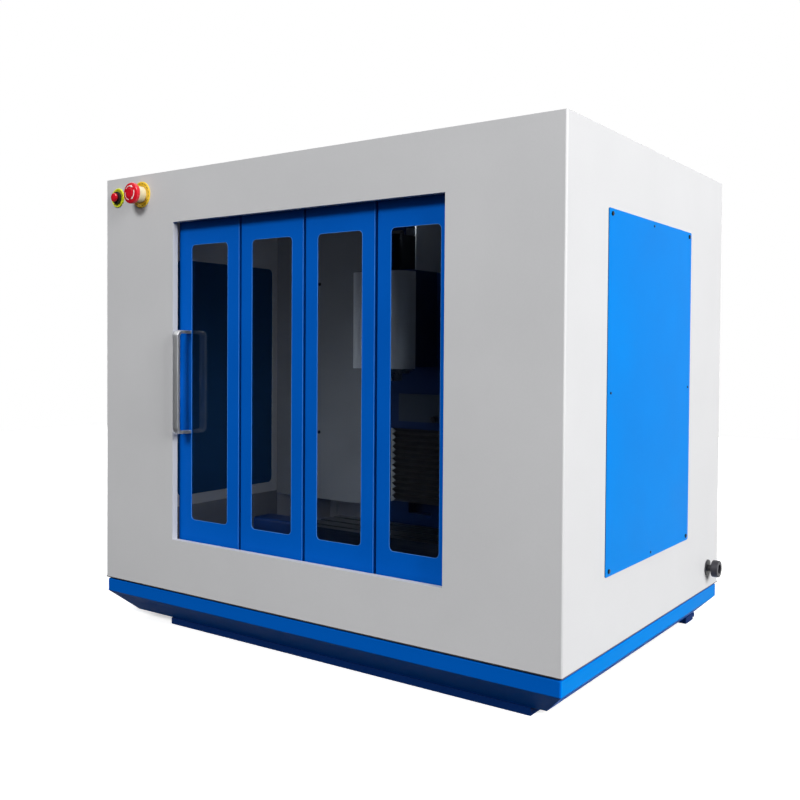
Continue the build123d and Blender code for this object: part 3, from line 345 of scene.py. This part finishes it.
def powderCoat(name, settings):
    material, tree, output, space = startMaterial(name)
    broad = grain(tree, space, powderMottle["broad"], 3.0)
    speck = grain(tree, space, powderMottle["speck"], 1.0)
    both = addNode(tree, "ShaderNodeMath", {"operation": "MULTIPLY_ADD", 1: powderMottle["speckShare"]},
                   {0: speck, 2: broad})
    colour = twoTone(tree, both.outputs[0], settings, powderMottle["start"], powderMottle["end"])
    if "inner" in settings:
        # The sheet's faces farther from the middle than the given x keep the lighter colour, painted light
        # for the light from the side; nearer the middle they take the inner blue: the pan's front its plain
        # blue, a side cover's back a darker, greyer blue.
        split = addNode(tree, "ShaderNodeSeparateXYZ", None, {0: space})
        side = addNode(tree, "ShaderNodeMath", {"operation": "ABSOLUTE"}, {0: split.outputs["X"]})
        outside = compute(tree, "GREATER_THAN", side.outputs[0], settings["litSidesFrom"])
        colour = addNode(tree, "ShaderNodeMix", {"data_type": "RGBA", 6: linear(settings["inner"])},
                         {0: outside, 7: colour}).outputs[2]
    peel = grain(tree, space, settings["peel"], 1.0)
    coverWith(tree, output, {"IOR": 1.5, "Specular IOR Level": settings["specular"]},
              {"Base Color": colour, "Roughness": unevenGloss(tree, broad, settings["roughness"], 0.05, 0.06),
               "Normal": relief(tree, peel, 0.35, settings["depth"])})
    return material


# Clear cast acrylic: a hard clear sheet, nearly smooth, with faint wiping marks in its gloss
paneSheet = {"colour": "D8DFE4", "ior": 1.45, "smear": 55.0, "run": (1.0, 1.0, 0.35), "specular": 0.5,
             "hazeFrom": 0.45, "hazeTo": 0.8, "haze": 0.012}


def clearAcrylic(name, settings):
    material, tree, output, space = startMaterial(name)
    smear = grain(tree, space, settings["smear"], 4.0, settings["run"])
    haze = addNode(tree, "ShaderNodeMapRange",
                   {"From Min": settings["hazeFrom"], "From Max": settings["hazeTo"], "To Min": 0.0,
                    "To Max": settings["haze"]}, {"Value": smear})
    coverWith(tree, output,
              {"Base Color": linear(settings["colour"]), "IOR": settings["ior"], "Transmission Weight": 1.0,
               "Specular IOR Level": settings["specular"]}, {"Roughness": haze.outputs[0]})
    return material


# Bare metals: a bright, anisotropic or ground face whose fine lines run along one axis
bareMetals = {
    "satinAluminium": {"colour": "E6E7E9", "shade": "DADCDF", "roughness": 0.55, "line": 0.9,
                       "stretch": (1.0, 1.0, 0.04)},
    "brushedAluminium": {"colour": "C9CCCF", "shade": "B4B7BB", "roughness": 0.34, "line": 0.9,
                         "stretch": (1.0, 1.0, 0.04)},
    "groundSteel": {"colour": "B6B9BD", "shade": "A2A5AA", "roughness": 0.28, "line": 1.0,
                    "stretch": (0.05, 1.0, 1.0)},
    "groundCastIron": {"colour": "8A8C90", "shade": "75777B", "roughness": 0.42, "line": 1.6,
                       "stretch": (0.06, 1.0, 1.0)},
    "blackAnodisedAluminium": {"colour": "2A2B2E", "shade": "222326", "roughness": 0.38, "line": 0.9,
                               "stretch": (1.0, 1.0, 0.2)},
    "blackenedSteel": {"colour": "1F2023", "shade": "17181A", "roughness": 0.36, "line": 0.8,
                       "stretch": (1.0, 1.0, 1.0)},
}


def bareMetal(name, settings):
    material, tree, output, space = startMaterial(name)
    lines = grain(tree, space, settings["line"], 3.0, settings["stretch"])
    coverWith(tree, output, {"Metallic": 1.0},
              {"Base Color": twoTone(tree, lines, settings),
               "Roughness": unevenGloss(tree, lines, settings["roughness"], 0.08, 0.08),
               "Normal": relief(tree, lines, 0.25, 0.03)})
    return material


# Moulded plastics: an even colour with a faint flow mottling and a fine satin or gloss skin
plastics = {
    "redGlossAcetal": {"colour": "E01A2C", "shade": "CC1424", "roughness": 0.16, "skin": 3.0, "coat": 0.3},
    "yellowNylon": {"colour": "FFD63C", "shade": "F6C92C", "roughness": 0.42, "skin": 1.5, "coat": 0.0},
    # The pale blue of the leaves' edge strips: a painted highlight for the lit sheet edges.
    "paintedEdgeHighlight": {"colour": "4C90E6", "shade": "4286DC", "roughness": 0.35, "skin": 1.2, "coat": 0.0},
    "limeNylon": {"colour": "E8F028", "shade": "DCE41E", "roughness": 0.42, "skin": 1.5, "coat": 0.0},
    "creamNylon": {"colour": "DCD3B2", "shade": "CFC6A4", "roughness": 0.40, "skin": 1.5, "coat": 0.0},
    "blackNylon": {"colour": "2C2B31", "shade": "232228", "roughness": 0.44, "skin": 1.2, "coat": 0.0},
    "paleMoulding": {"colour": "FBEFEE", "shade": "F4E4E3", "roughness": 0.35, "skin": 1.2, "coat": 0.0},
    "darkPrint": {"colour": "8A7224", "shade": "7A651E", "roughness": 0.5, "skin": 1.2, "coat": 0.0},
}
flowWidth = 14.0  # millimetres of mottling left by the melt


def mouldedPlastic(name, settings):
    material, tree, output, space = startMaterial(name)
    flow = grain(tree, space, flowWidth, 2.0)
    fine = grain(tree, space, settings["skin"], 1.0)
    coverWith(tree, output, {"IOR": 1.49, "Coat Weight": settings["coat"], "Coat Roughness": 0.08},
              {"Base Color": twoTone(tree, flow, settings),
               "Roughness": unevenGloss(tree, flow, settings["roughness"], 0.04, 0.05),
               "Normal": relief(tree, fine, 0.2, 0.05)})
    return material


# Coated bellows cloth: a polyurethane skin over a plain weave, drawn at 1.5 mm so that it shows
bellowsCloths = {
    # The grey of the lower cover's fold tips at its left end, lighter as painted light on the fold facets.
    "greyBellowsCloth": {"colour": "A9ABAD", "shade": "8D8F92", "thread": 1.5, "mottle": 20.0},
    "blackBellowsCloth": {"colour": "222327", "shade": "17181B", "thread": 1.5, "mottle": 20.0},
}


def coatedCloth(name, settings):
    material, tree, output, space = startMaterial(name)
    scale = 1000.0 / settings["thread"] / (4.0 * math.pi)
    waves = [addNode(tree, "ShaderNodeTexWave", {"bands_direction": axis, "Scale": scale},
                     {"Vector": space}).outputs["Fac"] for axis in ("X", "Z")]
    weave = compute(tree, "MULTIPLY", *waves)
    mottle = grain(tree, space, settings["mottle"], 3.0)
    coverWith(tree, output, {"Roughness": 0.55, "Sheen Weight": 0.1},
              {"Base Color": twoTone(tree, mottle, settings), "Normal": relief(tree, weave, 0.3, 0.1)})
    return material


finishes = {"clearAcrylic": clearAcrylic("clearAcrylic", paneSheet)}
for makeFinish, table in ((powderCoat, powderCoats), (bareMetal, bareMetals), (mouldedPlastic, plastics),
                          (coatedCloth, bellowsCloths)):
    for finishName, finishSettings in table.items():
        finishes[finishName] = makeFinish(finishName, finishSettings)
print("materials made:", len(finishes))

# What each part of the machine is finished in
dress = {
    "greyPowderCoat": ("enclosure_hood", "rear_panel"),
    "coverBluePowderCoatLitFace": ("side_covers",),
    "trayBluePowderCoatLitSides": ("base_tray",),
    "navyPowderCoatPaintedShade": ("foot_rails",),
    "bluePowderCoat": ("door_leaf_1", "door_leaf_2", "door_leaf_3", "door_leaf_4"),
    "linerPowderCoat": ("wall_liners", "splash_panels", "electrics_plate"),
    "blueCastingEnamelPaintedShade": ("machine_base", "saddle", "column", "head_casting", "x_motor"),
    "coverPowderCoat": ("head_cover", "cable_guard"),
    "apronPaint": ("slide_apron",),
    "clearAcrylic": ("window_pane_1", "window_pane_2", "window_pane_3", "window_pane_4"),
    "brushedAluminium": ("door_handle", "top_track", "bottom_track", "screw_supports", "x_screw_supports",
                         "saddle_nuts", "z_nut"),
    "groundSteel": ("pivot_pins", "seam_pins", "guide_pins", "fixed_rails", "saddle_carriages", "x_rails",
                    "x_screw", "y_screw", "z_screw", "z_carriages", "spindle_cartridge", "spindle_bearings",
                    "spindle_shaft", "collet_nut"),
    "groundCastIron": ("table",),
    "blackAnodisedAluminium": ("axis_motors", "spindle_motor", "servo_drives", "power_supply"),
    "blackenedSteel": ("cover_screws",),
    "redGlossAcetal": ("estop_mushroom", "button_cap"),
    "yellowNylon": ("legend_rings",),
    "blackNylon": ("button_bodies", "estop_stem", "gland_body", "gland_nut"),
    "greyBellowsCloth": ("lower_bellows",),
    "blackBellowsCloth": ("upper_bellows",),
}
for finishName, partNames in dress.items():
    for partName in partNames:
        for slot in nodes[partName].material_slots:
            slot.material = finishes[finishName]
undressed = set(nodes) - {name for group in dress.values() for name in group}
print("parts dressed, left:", sorted(undressed))


# Sheet and cast edges: a small break that catches the light, radius in millimetres
softEdges = {"base_tray": 1.6, "door_leaf_1": 1.1, "door_leaf_2": 1.1, "door_leaf_3": 1.1, "door_leaf_4": 1.1,
             "enclosure_hood": 0.8, "side_covers": 0.8}
edgeBreak = {"weld": 0.02, "segments": 2, "sharpFrom": 40.0}
for partName, radius in softEdges.items():
    weld = nodes[partName].modifiers.new("weld", "WELD")
    weld.merge_threshold = edgeBreak["weld"] / 1000.0
    bevel = nodes[partName].modifiers.new("edgeBreak", "BEVEL")
    bevel.width = radius / 1000.0
    bevel.segments = edgeBreak["segments"]
    bevel.limit_method = "ANGLE"
    bevel.angle_limit = math.radians(edgeBreak["sharpFrom"])
    bevel.harden_normals = True
print("edges softened")


def surface(name, points, finish, closed=False, smooth=True):
    # Grid of points, rows by columns, joined to quads.
    quads = gridQuads(*points.shape[:2], closed)
    piece = meshObject(name, points.reshape(-1, 3).tolist(), quads.tolist(), finishes[finish])
    piece.data.polygons.foreach_set("use_smooth", np.full(len(quads), smooth))
    return piece


def tidyMesh(piece, gap=0.00001):
    # Welds points that lie together, drops empty faces and turns every face outwards.
    work = bmesh.new()
    work.from_mesh(piece.data)
    bmesh.ops.remove_doubles(work, verts=work.verts, dist=gap)
    bmesh.ops.dissolve_degenerate(work, dist=gap / 10, edges=work.edges)
    bmesh.ops.recalc_face_normals(work, faces=work.faces)
    work.to_mesh(piece.data)
    work.free()
    return piece


def thicken(piece, thickness):  # gives a flat strip its thickness in millimetres, half to each side
    pad = piece.modifiers.new("thickness", "SOLIDIFY")
    pad.thickness, pad.offset = thickness / 1000.0, 0.0


def turned(name, profile, centre, finish, count=48, axis="y"):
    # Profile of (radius, travel) pairs turned round an axis through centre:
    # point = centre + radius * (cos a, sin a) across the axis + travel along it.
    radius, travel = np.array(profile, float).T
    angle = np.linspace(0.0, 2 * math.pi, count, endpoint=False)
    across = np.outer(radius, np.cos(angle))
    up = np.outer(radius, np.sin(angle))
    along = np.repeat(travel[:, None], count, axis=1)
    x, y, z = centre
    if axis == "x":
        points = place(x + along, y + across, z + up)
    else:
        points = place(x + across, y + along, z + up)
    return tidyMesh(surface(name, points, finish, closed=True))


def roundedOutline(width, height, radius, steps):
    # Rectangle about (0, 0) with round corners, corner + radius * (cos a, sin a), and the unit vectors
    # (cos a, sin a) that point out of it.
    swing = np.linspace(0.0, math.pi / 2, steps)
    path, out = [], []
    for quarter, (sideX, sideY) in enumerate(((1, 1), (-1, 1), (-1, -1), (1, -1))):
        angle = swing + quarter * math.pi / 2
        away = np.stack([np.cos(angle), np.sin(angle)], axis=1)
        path.append(np.array([sideX * (width / 2 - radius), sideY * (height / 2 - radius)]) + radius * away)
        out.append(away)
    return np.concatenate(path), np.concatenate(out)


# Mushroom: a domed cap with three curved arrows round a raised disc
mushroomFace = {
    "x": 106.5, "z": 832.5, "front": -30.4, "radius": 20.0, "crown": 3.6,
    "rear": -19.6, "recess": 16.4, "recessFloor": -24.85, "edge": 2.4, "lip": 1.0, "lipBreak": 0.3,
    "discRadius": 9.0, "discRise": 0.5, "discSunk": 0.3, "discEdge": 0.6,
    "discSteps": ((0.93, 0.15), (0.8, 0.1), (0.4, 0.05), (0.0, 0.0)),
    "arrowRadius": 13.0, "arrowSpan": 92.0, "arrowWidth": 1.4, "headWidth": 4.2, "headShare": 0.26,
    "arrowRise": 0.2, "arrowThickness": 0.4, "arrowCount": 3, "startAngle": 20.0,
}


def crownFront(distance, settings):
    # Front of the domed crown at a distance from its middle: the sphere through the crown's rim and top.
    ball = (settings["radius"] ** 2 + settings["crown"] ** 2) / (2 * settings["crown"])
    return settings["front"] + ball - np.sqrt(ball ** 2 - distance ** 2)


def makeMushroom(settings):
    # Cap: the crown's arc runs out to a rounded rim, then a short skirt and a recess for the collar.
    radius, edge, lip, lipBreak = (settings[key] for key in ("radius", "edge", "lip", "lipBreak"))
    distance = np.linspace(0.0, radius - edge, 13)
    crown = [(r, crownFront(r, settings)) for r in distance]
    shoulder = crown[-1][1] + edge
    swing = np.linspace(math.pi / 2, 0.0, 7)[1:]
    bend = [(radius - edge + edge * math.cos(a), shoulder - edge * math.sin(a)) for a in swing]
    rear, recess, floor = settings["rear"], settings["recess"], settings["recessFloor"]
    skirt = [(radius, rear - lip), (radius - lipBreak, rear - lipBreak), (radius - lip, rear), (recess, rear),
             (recess, floor), (0.0, floor)]
    centre = (settings["x"], 0.0, settings["z"])
    cap = turned("mushroom_cap", crown + bend + skirt, centre, "redGlossAcetal", 64)
    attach(cap, "estop_cap")
    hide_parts("estop_mushroom")


def makeMushroomFace(settings):
    # Arrow: u runs along an arc and v across it; its half width is constant, then widens and runs to a point.
    u = np.linspace(0.0, 1.0, 41)
    split = 1.0 - settings["headShare"]
    half = np.where(u < split, settings["arrowWidth"] / 2,
                    settings["headWidth"] / 2 * (1.0 - u) / settings["headShare"])
    v = np.linspace(-1.0, 1.0, 7)
    distance = settings["arrowRadius"] + half[:, None] * v[None, :]
    for number in range(settings["arrowCount"]):
        start = settings["startAngle"] + number * 360.0 / settings["arrowCount"]
        angle = np.radians(start - settings["arrowSpan"] * u)[:, None]
        x = settings["x"] + distance * np.cos(angle)
        z = settings["z"] + distance * np.sin(angle)
        y = crownFront(distance, settings) - settings["arrowRise"]
        arrow = tidyMesh(surface(f"mushroom_arrow_{number + 1}", place(x, y, z), "paleMoulding"))
        thicken(arrow, settings["arrowThickness"])
        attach(arrow, "estop_cap")
    # Disc: its edge starts inside the crown and it closes to the middle in steps of (share of radius, fall).
    edge, rise = settings["discRadius"], settings["discRise"]
    rim = crownFront(edge, settings) - settings["front"]
    profile = [(edge, rim + settings["discSunk"]), (edge, rim * settings["discEdge"] - rise)]
    profile += [(edge * share, fall - rise) for share, fall in settings["discSteps"]]
    centre = (settings["x"], settings["front"] + rise, settings["z"])
    disc = turned("mushroom_disc", profile, centre, "redGlossAcetal")
    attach(disc, "estop_cap")


makeMushroom(mushroomFace)
makeMushroomFace(mushroomFace)

# Legend rings: raised rims and plain dark bars in place of print
legendRings = (
    {"name": "estop", "x": 106.5, "z": 832.5, "outer": 25.0, "inner": 11.1, "bar": 21.2, "barWidth": 1.3,
     "count": 16, "fill": 0.55, "finish": "yellowNylon"},
    {"name": "button", "x": 36.0, "z": 832.6, "outer": 18.5, "inner": 8.1, "bar": 14.9, "barWidth": 1.1,
     "count": 10, "fill": 0.5, "finish": "limeNylon"},
)
ringPlate = {"back": -0.1, "face": -1.7, "rim": -2.05, "rimEnd": -1.6, "rimInsets": (2.4, 1.9, 0.7, 0.1),
             "barFace": -1.75, "barThickness": 0.2, "segments": 72}


def makeRing(settings, plateSettings):
    # Plate: a closed section, softly raised at its outer edge, turned round the button's middle.
    outer, inner = settings["outer"], settings["inner"]
    back, face, rim, rimEnd = (plateSettings[key] for key in ("back", "face", "rim", "rimEnd"))
    section = zip(plateSettings["rimInsets"], (face, rim, rim, rimEnd))
    profile = [(inner, back), (inner, face)] + [(outer - inset, y) for inset, y in section]
    profile += [(outer, back), (inner, back)]
    plate = turned(f"{settings['name']}_legend_plate", profile, (settings["x"], 0.0, settings["z"]),
                   settings["finish"], plateSettings["segments"])
    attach(plate, "root")
    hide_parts("legend_rings")
    # Bar: a flat arc strip, u along the arc and v across it.
    u, v = np.linspace(0.0, 1.0, 9)[:, None], np.linspace(-0.5, 0.5, 3)[None, :]
    step = 2 * math.pi / settings["count"]
    distance = settings["bar"] + v * settings["barWidth"]
    for number in range(settings["count"]):
        angle = (number + 0.5) * step + (u - 0.5) * step * settings["fill"]
        points = place(settings["x"] + distance * np.cos(angle), plateSettings["barFace"],
                       settings["z"] + distance * np.sin(angle))
        bar = tidyMesh(surface(f"{settings['name']}_ring_bar_{number + 1}", points, "darkPrint"))
        thicken(bar, plateSettings["barThickness"])
        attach(bar, "root")


for ringSettings in legendRings:
    makeRing(ringSettings, ringPlate)

# Stop collar: a ribbed cream sleeve over the stop's body, under the mushroom
stopCollar = {"x": 106.5, "z": 832.5, "radius": 15.4, "neck": 14.4, "front": -19.3, "rear": -1.8, "rib": 0.5,
              "ribCount": 4, "steps": 33}


def makeCollar(settings):
    # Sleeve profile: the radius waves with a few shallow ribs between its two turned-in ends.
    travel = np.linspace(settings["rear"], settings["front"], settings["steps"])
    wave = np.cos(np.linspace(0.0, 2 * math.pi * settings["ribCount"], settings["steps"]))
    radius = settings["radius"] - settings["rib"] * 0.5 * (1.0 - wave)
    ends = [(settings["neck"], settings[end]) for end in ("rear", "front")]
    profile = ends[:1] + list(zip(radius, travel)) + ends[1:]
    sleeve = turned("estop_collar_sleeve", profile, (settings["x"], 0.0, settings["z"]), "creamNylon", 64)
    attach(sleeve, "root")


makeCollar(stopCollar)

# Push button: a low domed cap on its stem
pushButton = {"x": 36.0, "z": 832.6, "radius": 8.6, "front": -12.6, "rear": -7.9, "crown": 1.3,
              "domeShare": 0.86, "edgeShare": 0.96, "edgeFall": 0.1, "rimFall": 0.9, "stem": 4.0,
              "stemEnd": 26.0}


def makePushButton(settings):
    # Cap profile: y = front + crown * (r / rim)^2 out to the rim, a rounded edge, then skirt and stem.
    radius, rear, stem, stemEnd = (settings[key] for key in ("radius", "rear", "stem", "stemEnd"))
    share = np.linspace(0.0, settings["domeShare"], 9)
    dome = [(radius * f, settings["front"] + settings["crown"] * f * f) for f in share]
    rim = settings["front"] + settings["crown"]
    skirt = [(radius * settings["edgeShare"], rim + settings["edgeFall"]),
             (radius, rim + settings["rimFall"]), (radius, rear), (stem, rear),
             (stem, stemEnd), (0.0, stemEnd)]
    cap = turned("button_dome", dome + skirt, (settings["x"], 0.0, settings["z"]), "redGlossAcetal")
    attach(cap, "push_button")
    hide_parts("button_cap")


makePushButton(pushButton)
print("controls made")

# Edge highlights: thin pale strips along each leaf's right edge and round each window, painted highlights for
# the sheet edges that catch the light
leafEdgeHighlights = {"front": 20.0, "proud": 0.25, "sunk": 0.15, "width": 0.8, "low": 170.0, "high": 780.0,
             "seamInset": 1.0, "lastEdge": 807.6, "pitch": 152.6, "windowRadius": 8.0, "paneOverlap": 8.0,
             "clear": 0.3, "leaves": (1, 2, 3, 4)}


def bead(name, path, across, settings, body, closed):
    # Section: a low half-round of the given width standing on the leaf's face; across is the unit vector
    # (x, z) in the face at right angles to the path, so point = path + across * w cos(a) / 2 and
    # y = front - proud sin(a).
    swing = np.linspace(0.0, math.pi, 7)
    offset = settings["width"] / 2 * np.cos(swing)
    sunk = settings["sunk"]
    x = path[:, :1] + across[:, :1] * offset[None, :]
    z = path[:, 1:] + across[:, 1:] * offset[None, :]
    y = settings["front"] + sunk - (settings["proud"] + sunk) * np.sin(swing)[None, :]
    points = place(x, y, z)
    if closed:
        points = np.concatenate([points, points[:1]])
    strip = tidyMesh(surface(name, points, "paintedEdgeHighlight"))
    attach(strip, body)


def makeLeafEdgeHighlights(settings):
    # Window: the rounded outline just outside the cut. Seam: a straight line up the leaf's right edge.
    inset = settings["paneOverlap"] - settings["width"] / 2 + settings["clear"]
    for number in settings["leaves"]:
        low, high = boxOf(f"window_pane_{number}")
        middle, size = (low + high) / 2, high - low - 2 * inset
        path, across = roundedOutline(size[0], size[2], settings["windowRadius"] + settings["clear"], 7)
        bead(f"window_edge_highlight_{number}", path + middle[[0, 2]], across, settings, f"leaf_{number}", True)
    for number in settings["leaves"][:3]:
        edge = settings["lastEdge"] - (4 - number) * settings["pitch"] - settings["seamInset"]
        path = np.array([[edge, settings["low"]], [edge, settings["high"]]])
        across = np.array([[1.0, 0.0], [1.0, 0.0]])
        bead(f"seam_edge_highlight_{number}", path, across, settings, f"leaf_{number}", False)


makeLeafEdgeHighlights(leafEdgeHighlights)
print("edge_highlights made")

# Door handle: a flat bar bent into a bow, wider than thick
doorHandle = {"x": 218.5, "width": 14.0, "bottom": 378.5, "top": 571.5, "front": -14.0, "rear": 20.0,
              "thickness": 6.0, "bend": 12.0, "edge": 1.0}


def makeHandle(settings):
    # Centre line: up from the stile, round a bend, along the front and back again, as points (y, z).
    # Section: a rounded flat bar, width across x and thickness along the line's normal.
    half = settings["thickness"] / 2
    low, high = settings["bottom"] + half, settings["top"] - half
    front, radius = settings["front"] + half, settings["bend"] - half
    swing = np.linspace(0.0, math.pi / 2, 9)
    reach, rise = radius - radius * np.sin(swing), radius - radius * np.cos(swing)
    lowBend = np.stack([front + reach, low + rise], axis=1)
    highBend = np.stack([front + rise, high - reach], axis=1)
    line = np.concatenate([[[settings["rear"], low]], lowBend, highBend, [[settings["rear"], high]]])
    tangent = np.gradient(line, axis=0)
    tangent /= np.linalg.norm(tangent, axis=1, keepdims=True)
    normal = np.stack([-tangent[:, 1], tangent[:, 0]], axis=1)
    section, _ = roundedOutline(settings["width"], settings["thickness"], settings["edge"], 5)
    across, out = section.T
    y = line[:, :1] + normal[:, :1] * out[None, :]
    z = line[:, 1:] + normal[:, 1:] * out[None, :]
    points = place(settings["x"] + across[None, :], y, z)
    ends = points[[0, -1]].mean(axis=1, keepdims=True) + np.zeros_like(points[:1])
    points = np.concatenate([ends[:1], points, ends[1:]])
    bow = tidyMesh(surface("handle_bow", points, "satinAluminium", closed=True))
    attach(bow, "leaf_1")
    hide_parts("door_handle")


makeHandle(doorHandle)
print("handle made")

# Seal between the hood and the tray: a flat black foam gasket round the body, just proud of the sheet
hoodSeal = {"left": 0.0, "right": 1000.0, "front": 0.0, "rear": 700.0, "z": 80.6, "half": 0.7, "proud": 0.35,
            "inside": 13.0}


def makeSeal(settings):
    # Four corners of the outline at four offsets of the section, inner and outer, lower and upper.
    left, right, front, rear = (settings[key] for key in ("left", "right", "front", "rear"))
    signs = np.array([(-1, -1), (1, -1), (1, 1), (-1, 1)])
    section = [(-1.0, -1.0), (1.0, -1.0), (1.0, 1.0), (-1.0, 1.0), (-1.0, -1.0)]
    rows = []
    for out, up in section:
        grow = settings["proud"] if out > 0 else -settings["inside"]
        x = (left + right) / 2 + signs[:, 0] * ((right - left) / 2 + grow)
        y = (front + rear) / 2 + signs[:, 1] * ((rear - front) / 2 + grow)
        rows.append(place(x, y, settings["z"] + up * settings["half"]))
    seal = tidyMesh(surface("hood_seal", np.stack(rows), "blackNylon", closed=True, smooth=False))
    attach(seal, "root")


makeSeal(hoodSeal)

# Gland: a thin bead round the mouth of the clamp nut
glandTrim = {"y": 636.0, "z": 120.0, "rear": 1011.0, "length": 13.0, "ringRadius": 12.6, "inset": 0.4,
             "beadWidth": 0.7, "beadRise": 0.35}


def makeGlandTrim(settings):
    # Bead: an ellipse of (radius, travel) turned at the mouth of the nut.
    swing = np.linspace(0.0, 2 * math.pi, 17)
    radius = settings["ringRadius"] + settings["beadWidth"] * np.cos(swing)
    travel = settings["length"] - settings["inset"] + settings["beadRise"] * np.sin(swing)
    centre = (settings["rear"], settings["y"], settings["z"])
    seal = turned("gland_mouth_ring", np.stack([radius, travel], axis=1), centre, "blackNylon", axis="x")
    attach(seal, "root")


makeGlandTrim(glandTrim)

# Bellows: folded cloth standing between the column and the head
bellowsSets = (
    {"name": "lower_way_bellows", "node": "lower_bellows", "low": 230.0, "high": 380.0, "fixedEnd": "low",
     "lefts": (441.0,), "width": 119.0},
    {"name": "upper_way_bellows", "node": "upper_bellows", "low": 690.0, "high": 780.0, "fixedEnd": "high",
     "lefts": (425.0, 523.0), "width": 37.0},
)
bellowsShape = {"rear": 371.5, "valley": 366.7, "peak": 357.7, "pitch": 12.5, "steps": 10, "bow": 0.85,
                "reach": 0.96}


def makeBellows(settings, shape):
    # A zigzag outline with rounded folds, y = valley + (peak - valley) * wave(z), carried across the width;
    # the outline is closed behind by a flat back.
    folds = max(2, round((settings["high"] - settings["low"]) / shape["pitch"]))
    t = np.linspace(0.0, folds, folds * shape["steps"] + 1)
    wave = (1.0 - np.abs(2.0 * (t % 1.0) - 1.0)) ** shape["bow"] * shape["reach"]
    front = shape["valley"] + (shape["peak"] - shape["valley"]) * wave
    z = settings["low"] + t / folds * (settings["high"] - settings["low"])
    y = np.concatenate([[shape["rear"]], front, [shape["rear"]]])
    z = np.concatenate([[z[0]], z, [z[-1]]])
    pinch = np.array([0.0, 1.0, 1.0, 0.0])
    depth = shape["rear"] + (y[:, None] - shape["rear"]) * pinch[None, :]
    for number, left in enumerate(settings["lefts"]):
        x = left + settings["width"] * np.array([0.0, 0.0, 1.0, 1.0])
        cloth = tidyMesh(surface(f"{settings['name']}_{number + 1}", place(x[None, :], depth, z[:, None]),
                                 "blackBellowsCloth", closed=True, smooth=False))
        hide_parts(settings["node"])
        low, high = place(left, shape["rear"], settings["low"]), place(left, shape["rear"], settings["high"])
        if settings["fixedEnd"] == "low":
            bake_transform(cloth)
        else:
            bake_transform(cloth)


# Lit fold tips: grey zigzag triangles at the left end of the lower cover, its pale fold tips painted lighter
# as the lit facets of the folds
bellowsLitFoldTips = {"left": 445.0, "narrow": 2.0, "reach": 10.0, "front": 356.6, "low": 230.0, "high": 380.0,
                  "pitch": 12.5, "thickness": 0.5}


def makeLitFoldTips(settings):
    # The right side runs out and back once a fold, width = narrow + reach * (1 - |2t - 1|).
    folds = round((settings["high"] - settings["low"]) / settings["pitch"])
    t = np.linspace(0.0, folds, folds * 2 + 1)
    width = settings["narrow"] + settings["reach"] * (1.0 - np.abs(2.0 * (t % 1.0) - 1.0))
    z = settings["low"] + t * settings["pitch"]
    x = np.stack([np.full(t.shape, settings["left"]), settings["left"] + width], axis=1)
    points = place(x, settings["front"], z[:, None])
    edge = surface("lower_way_lit_fold_tips", points, "greyBellowsCloth", smooth=False)
    thicken(edge, settings["thickness"])
    low = place(settings["left"], settings["front"], settings["low"])
    high = place(settings["left"], settings["front"], settings["high"])
    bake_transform(edge)


for bellowsSettings in bellowsSets:
    makeBellows(bellowsSettings, bellowsShape)
makeLitFoldTips(bellowsLitFoldTips)
print("bellows made")

# Screws: domed heads on the splash panels
panelScrews = {
    "radius": 4.0, "height": 2.0, "skirt": 0.4, "segments": 24, "face": 493.4,
    "places": ((136.4, 344.7), (136.4, 690.0), (864.0, 344.7), (864.0, 690.0)),
}


def makeScrews(settings):
    # Head profile: an arc from the rim to the crown, y = face - skirt - height * cos(s) and radius * sin(s).
    radius, skirt, height = settings["radius"], settings["skirt"], settings["height"]
    swing = np.linspace(math.pi / 2, 0.0, 9)
    profile = [(radius, 0.0)] + [(radius * math.sin(s), -skirt - height * math.cos(s)) for s in swing]
    for number, (x, z) in enumerate(settings["places"]):
        head = turned(f"splash_screw_{number + 1}", profile, (x, settings["face"], z), "blackenedSteel",
                      settings["segments"])
        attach(head, "root")


# Apron knob: round, with a ribbed rim; steps of (share of radius, share of length) from its foot
apronKnob = {
    "x": 554.7, "y": 350.0, "z": 402.0, "radius": 6.2, "length": 9.0,
    "ribs": 16, "ribRise": 0.05, "ribFrom": 0.9,
    "steps": ((0.55, 0.0), (0.6, 0.25), (0.95, 0.3), (1.0, 0.38), (1.0, 0.85), (0.9, 0.96), (0.6, 1.0),
              (0.3, 1.0), (0.0, 1.0)),
}


def makeKnob(settings):
    # Grip: the radius waves round the rim, r = radius * (1 + rise * cos(ribs * a)), under a domed front.
    angle = np.linspace(0.0, 2 * math.pi, settings["ribs"] * 6, endpoint=False)
    shares, travel = np.array(settings["steps"]).T
    ribbed = (shares > settings["ribFrom"])[:, None]
    wave = 1.0 + settings["ribRise"] * np.cos(settings["ribs"] * angle)[None, :] * ribbed
    radius = settings["radius"] * shares[:, None] * wave
    points = place(settings["x"] + radius * np.cos(angle),
                   settings["y"] - settings["length"] * travel[:, None],
                   settings["z"] + radius * np.sin(angle))
    knob = tidyMesh(surface("apron_knob", points, "blackNylon", closed=True))
    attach(knob, "head")


makeScrews(panelScrews)
makeKnob(apronKnob)
print("small pieces made")
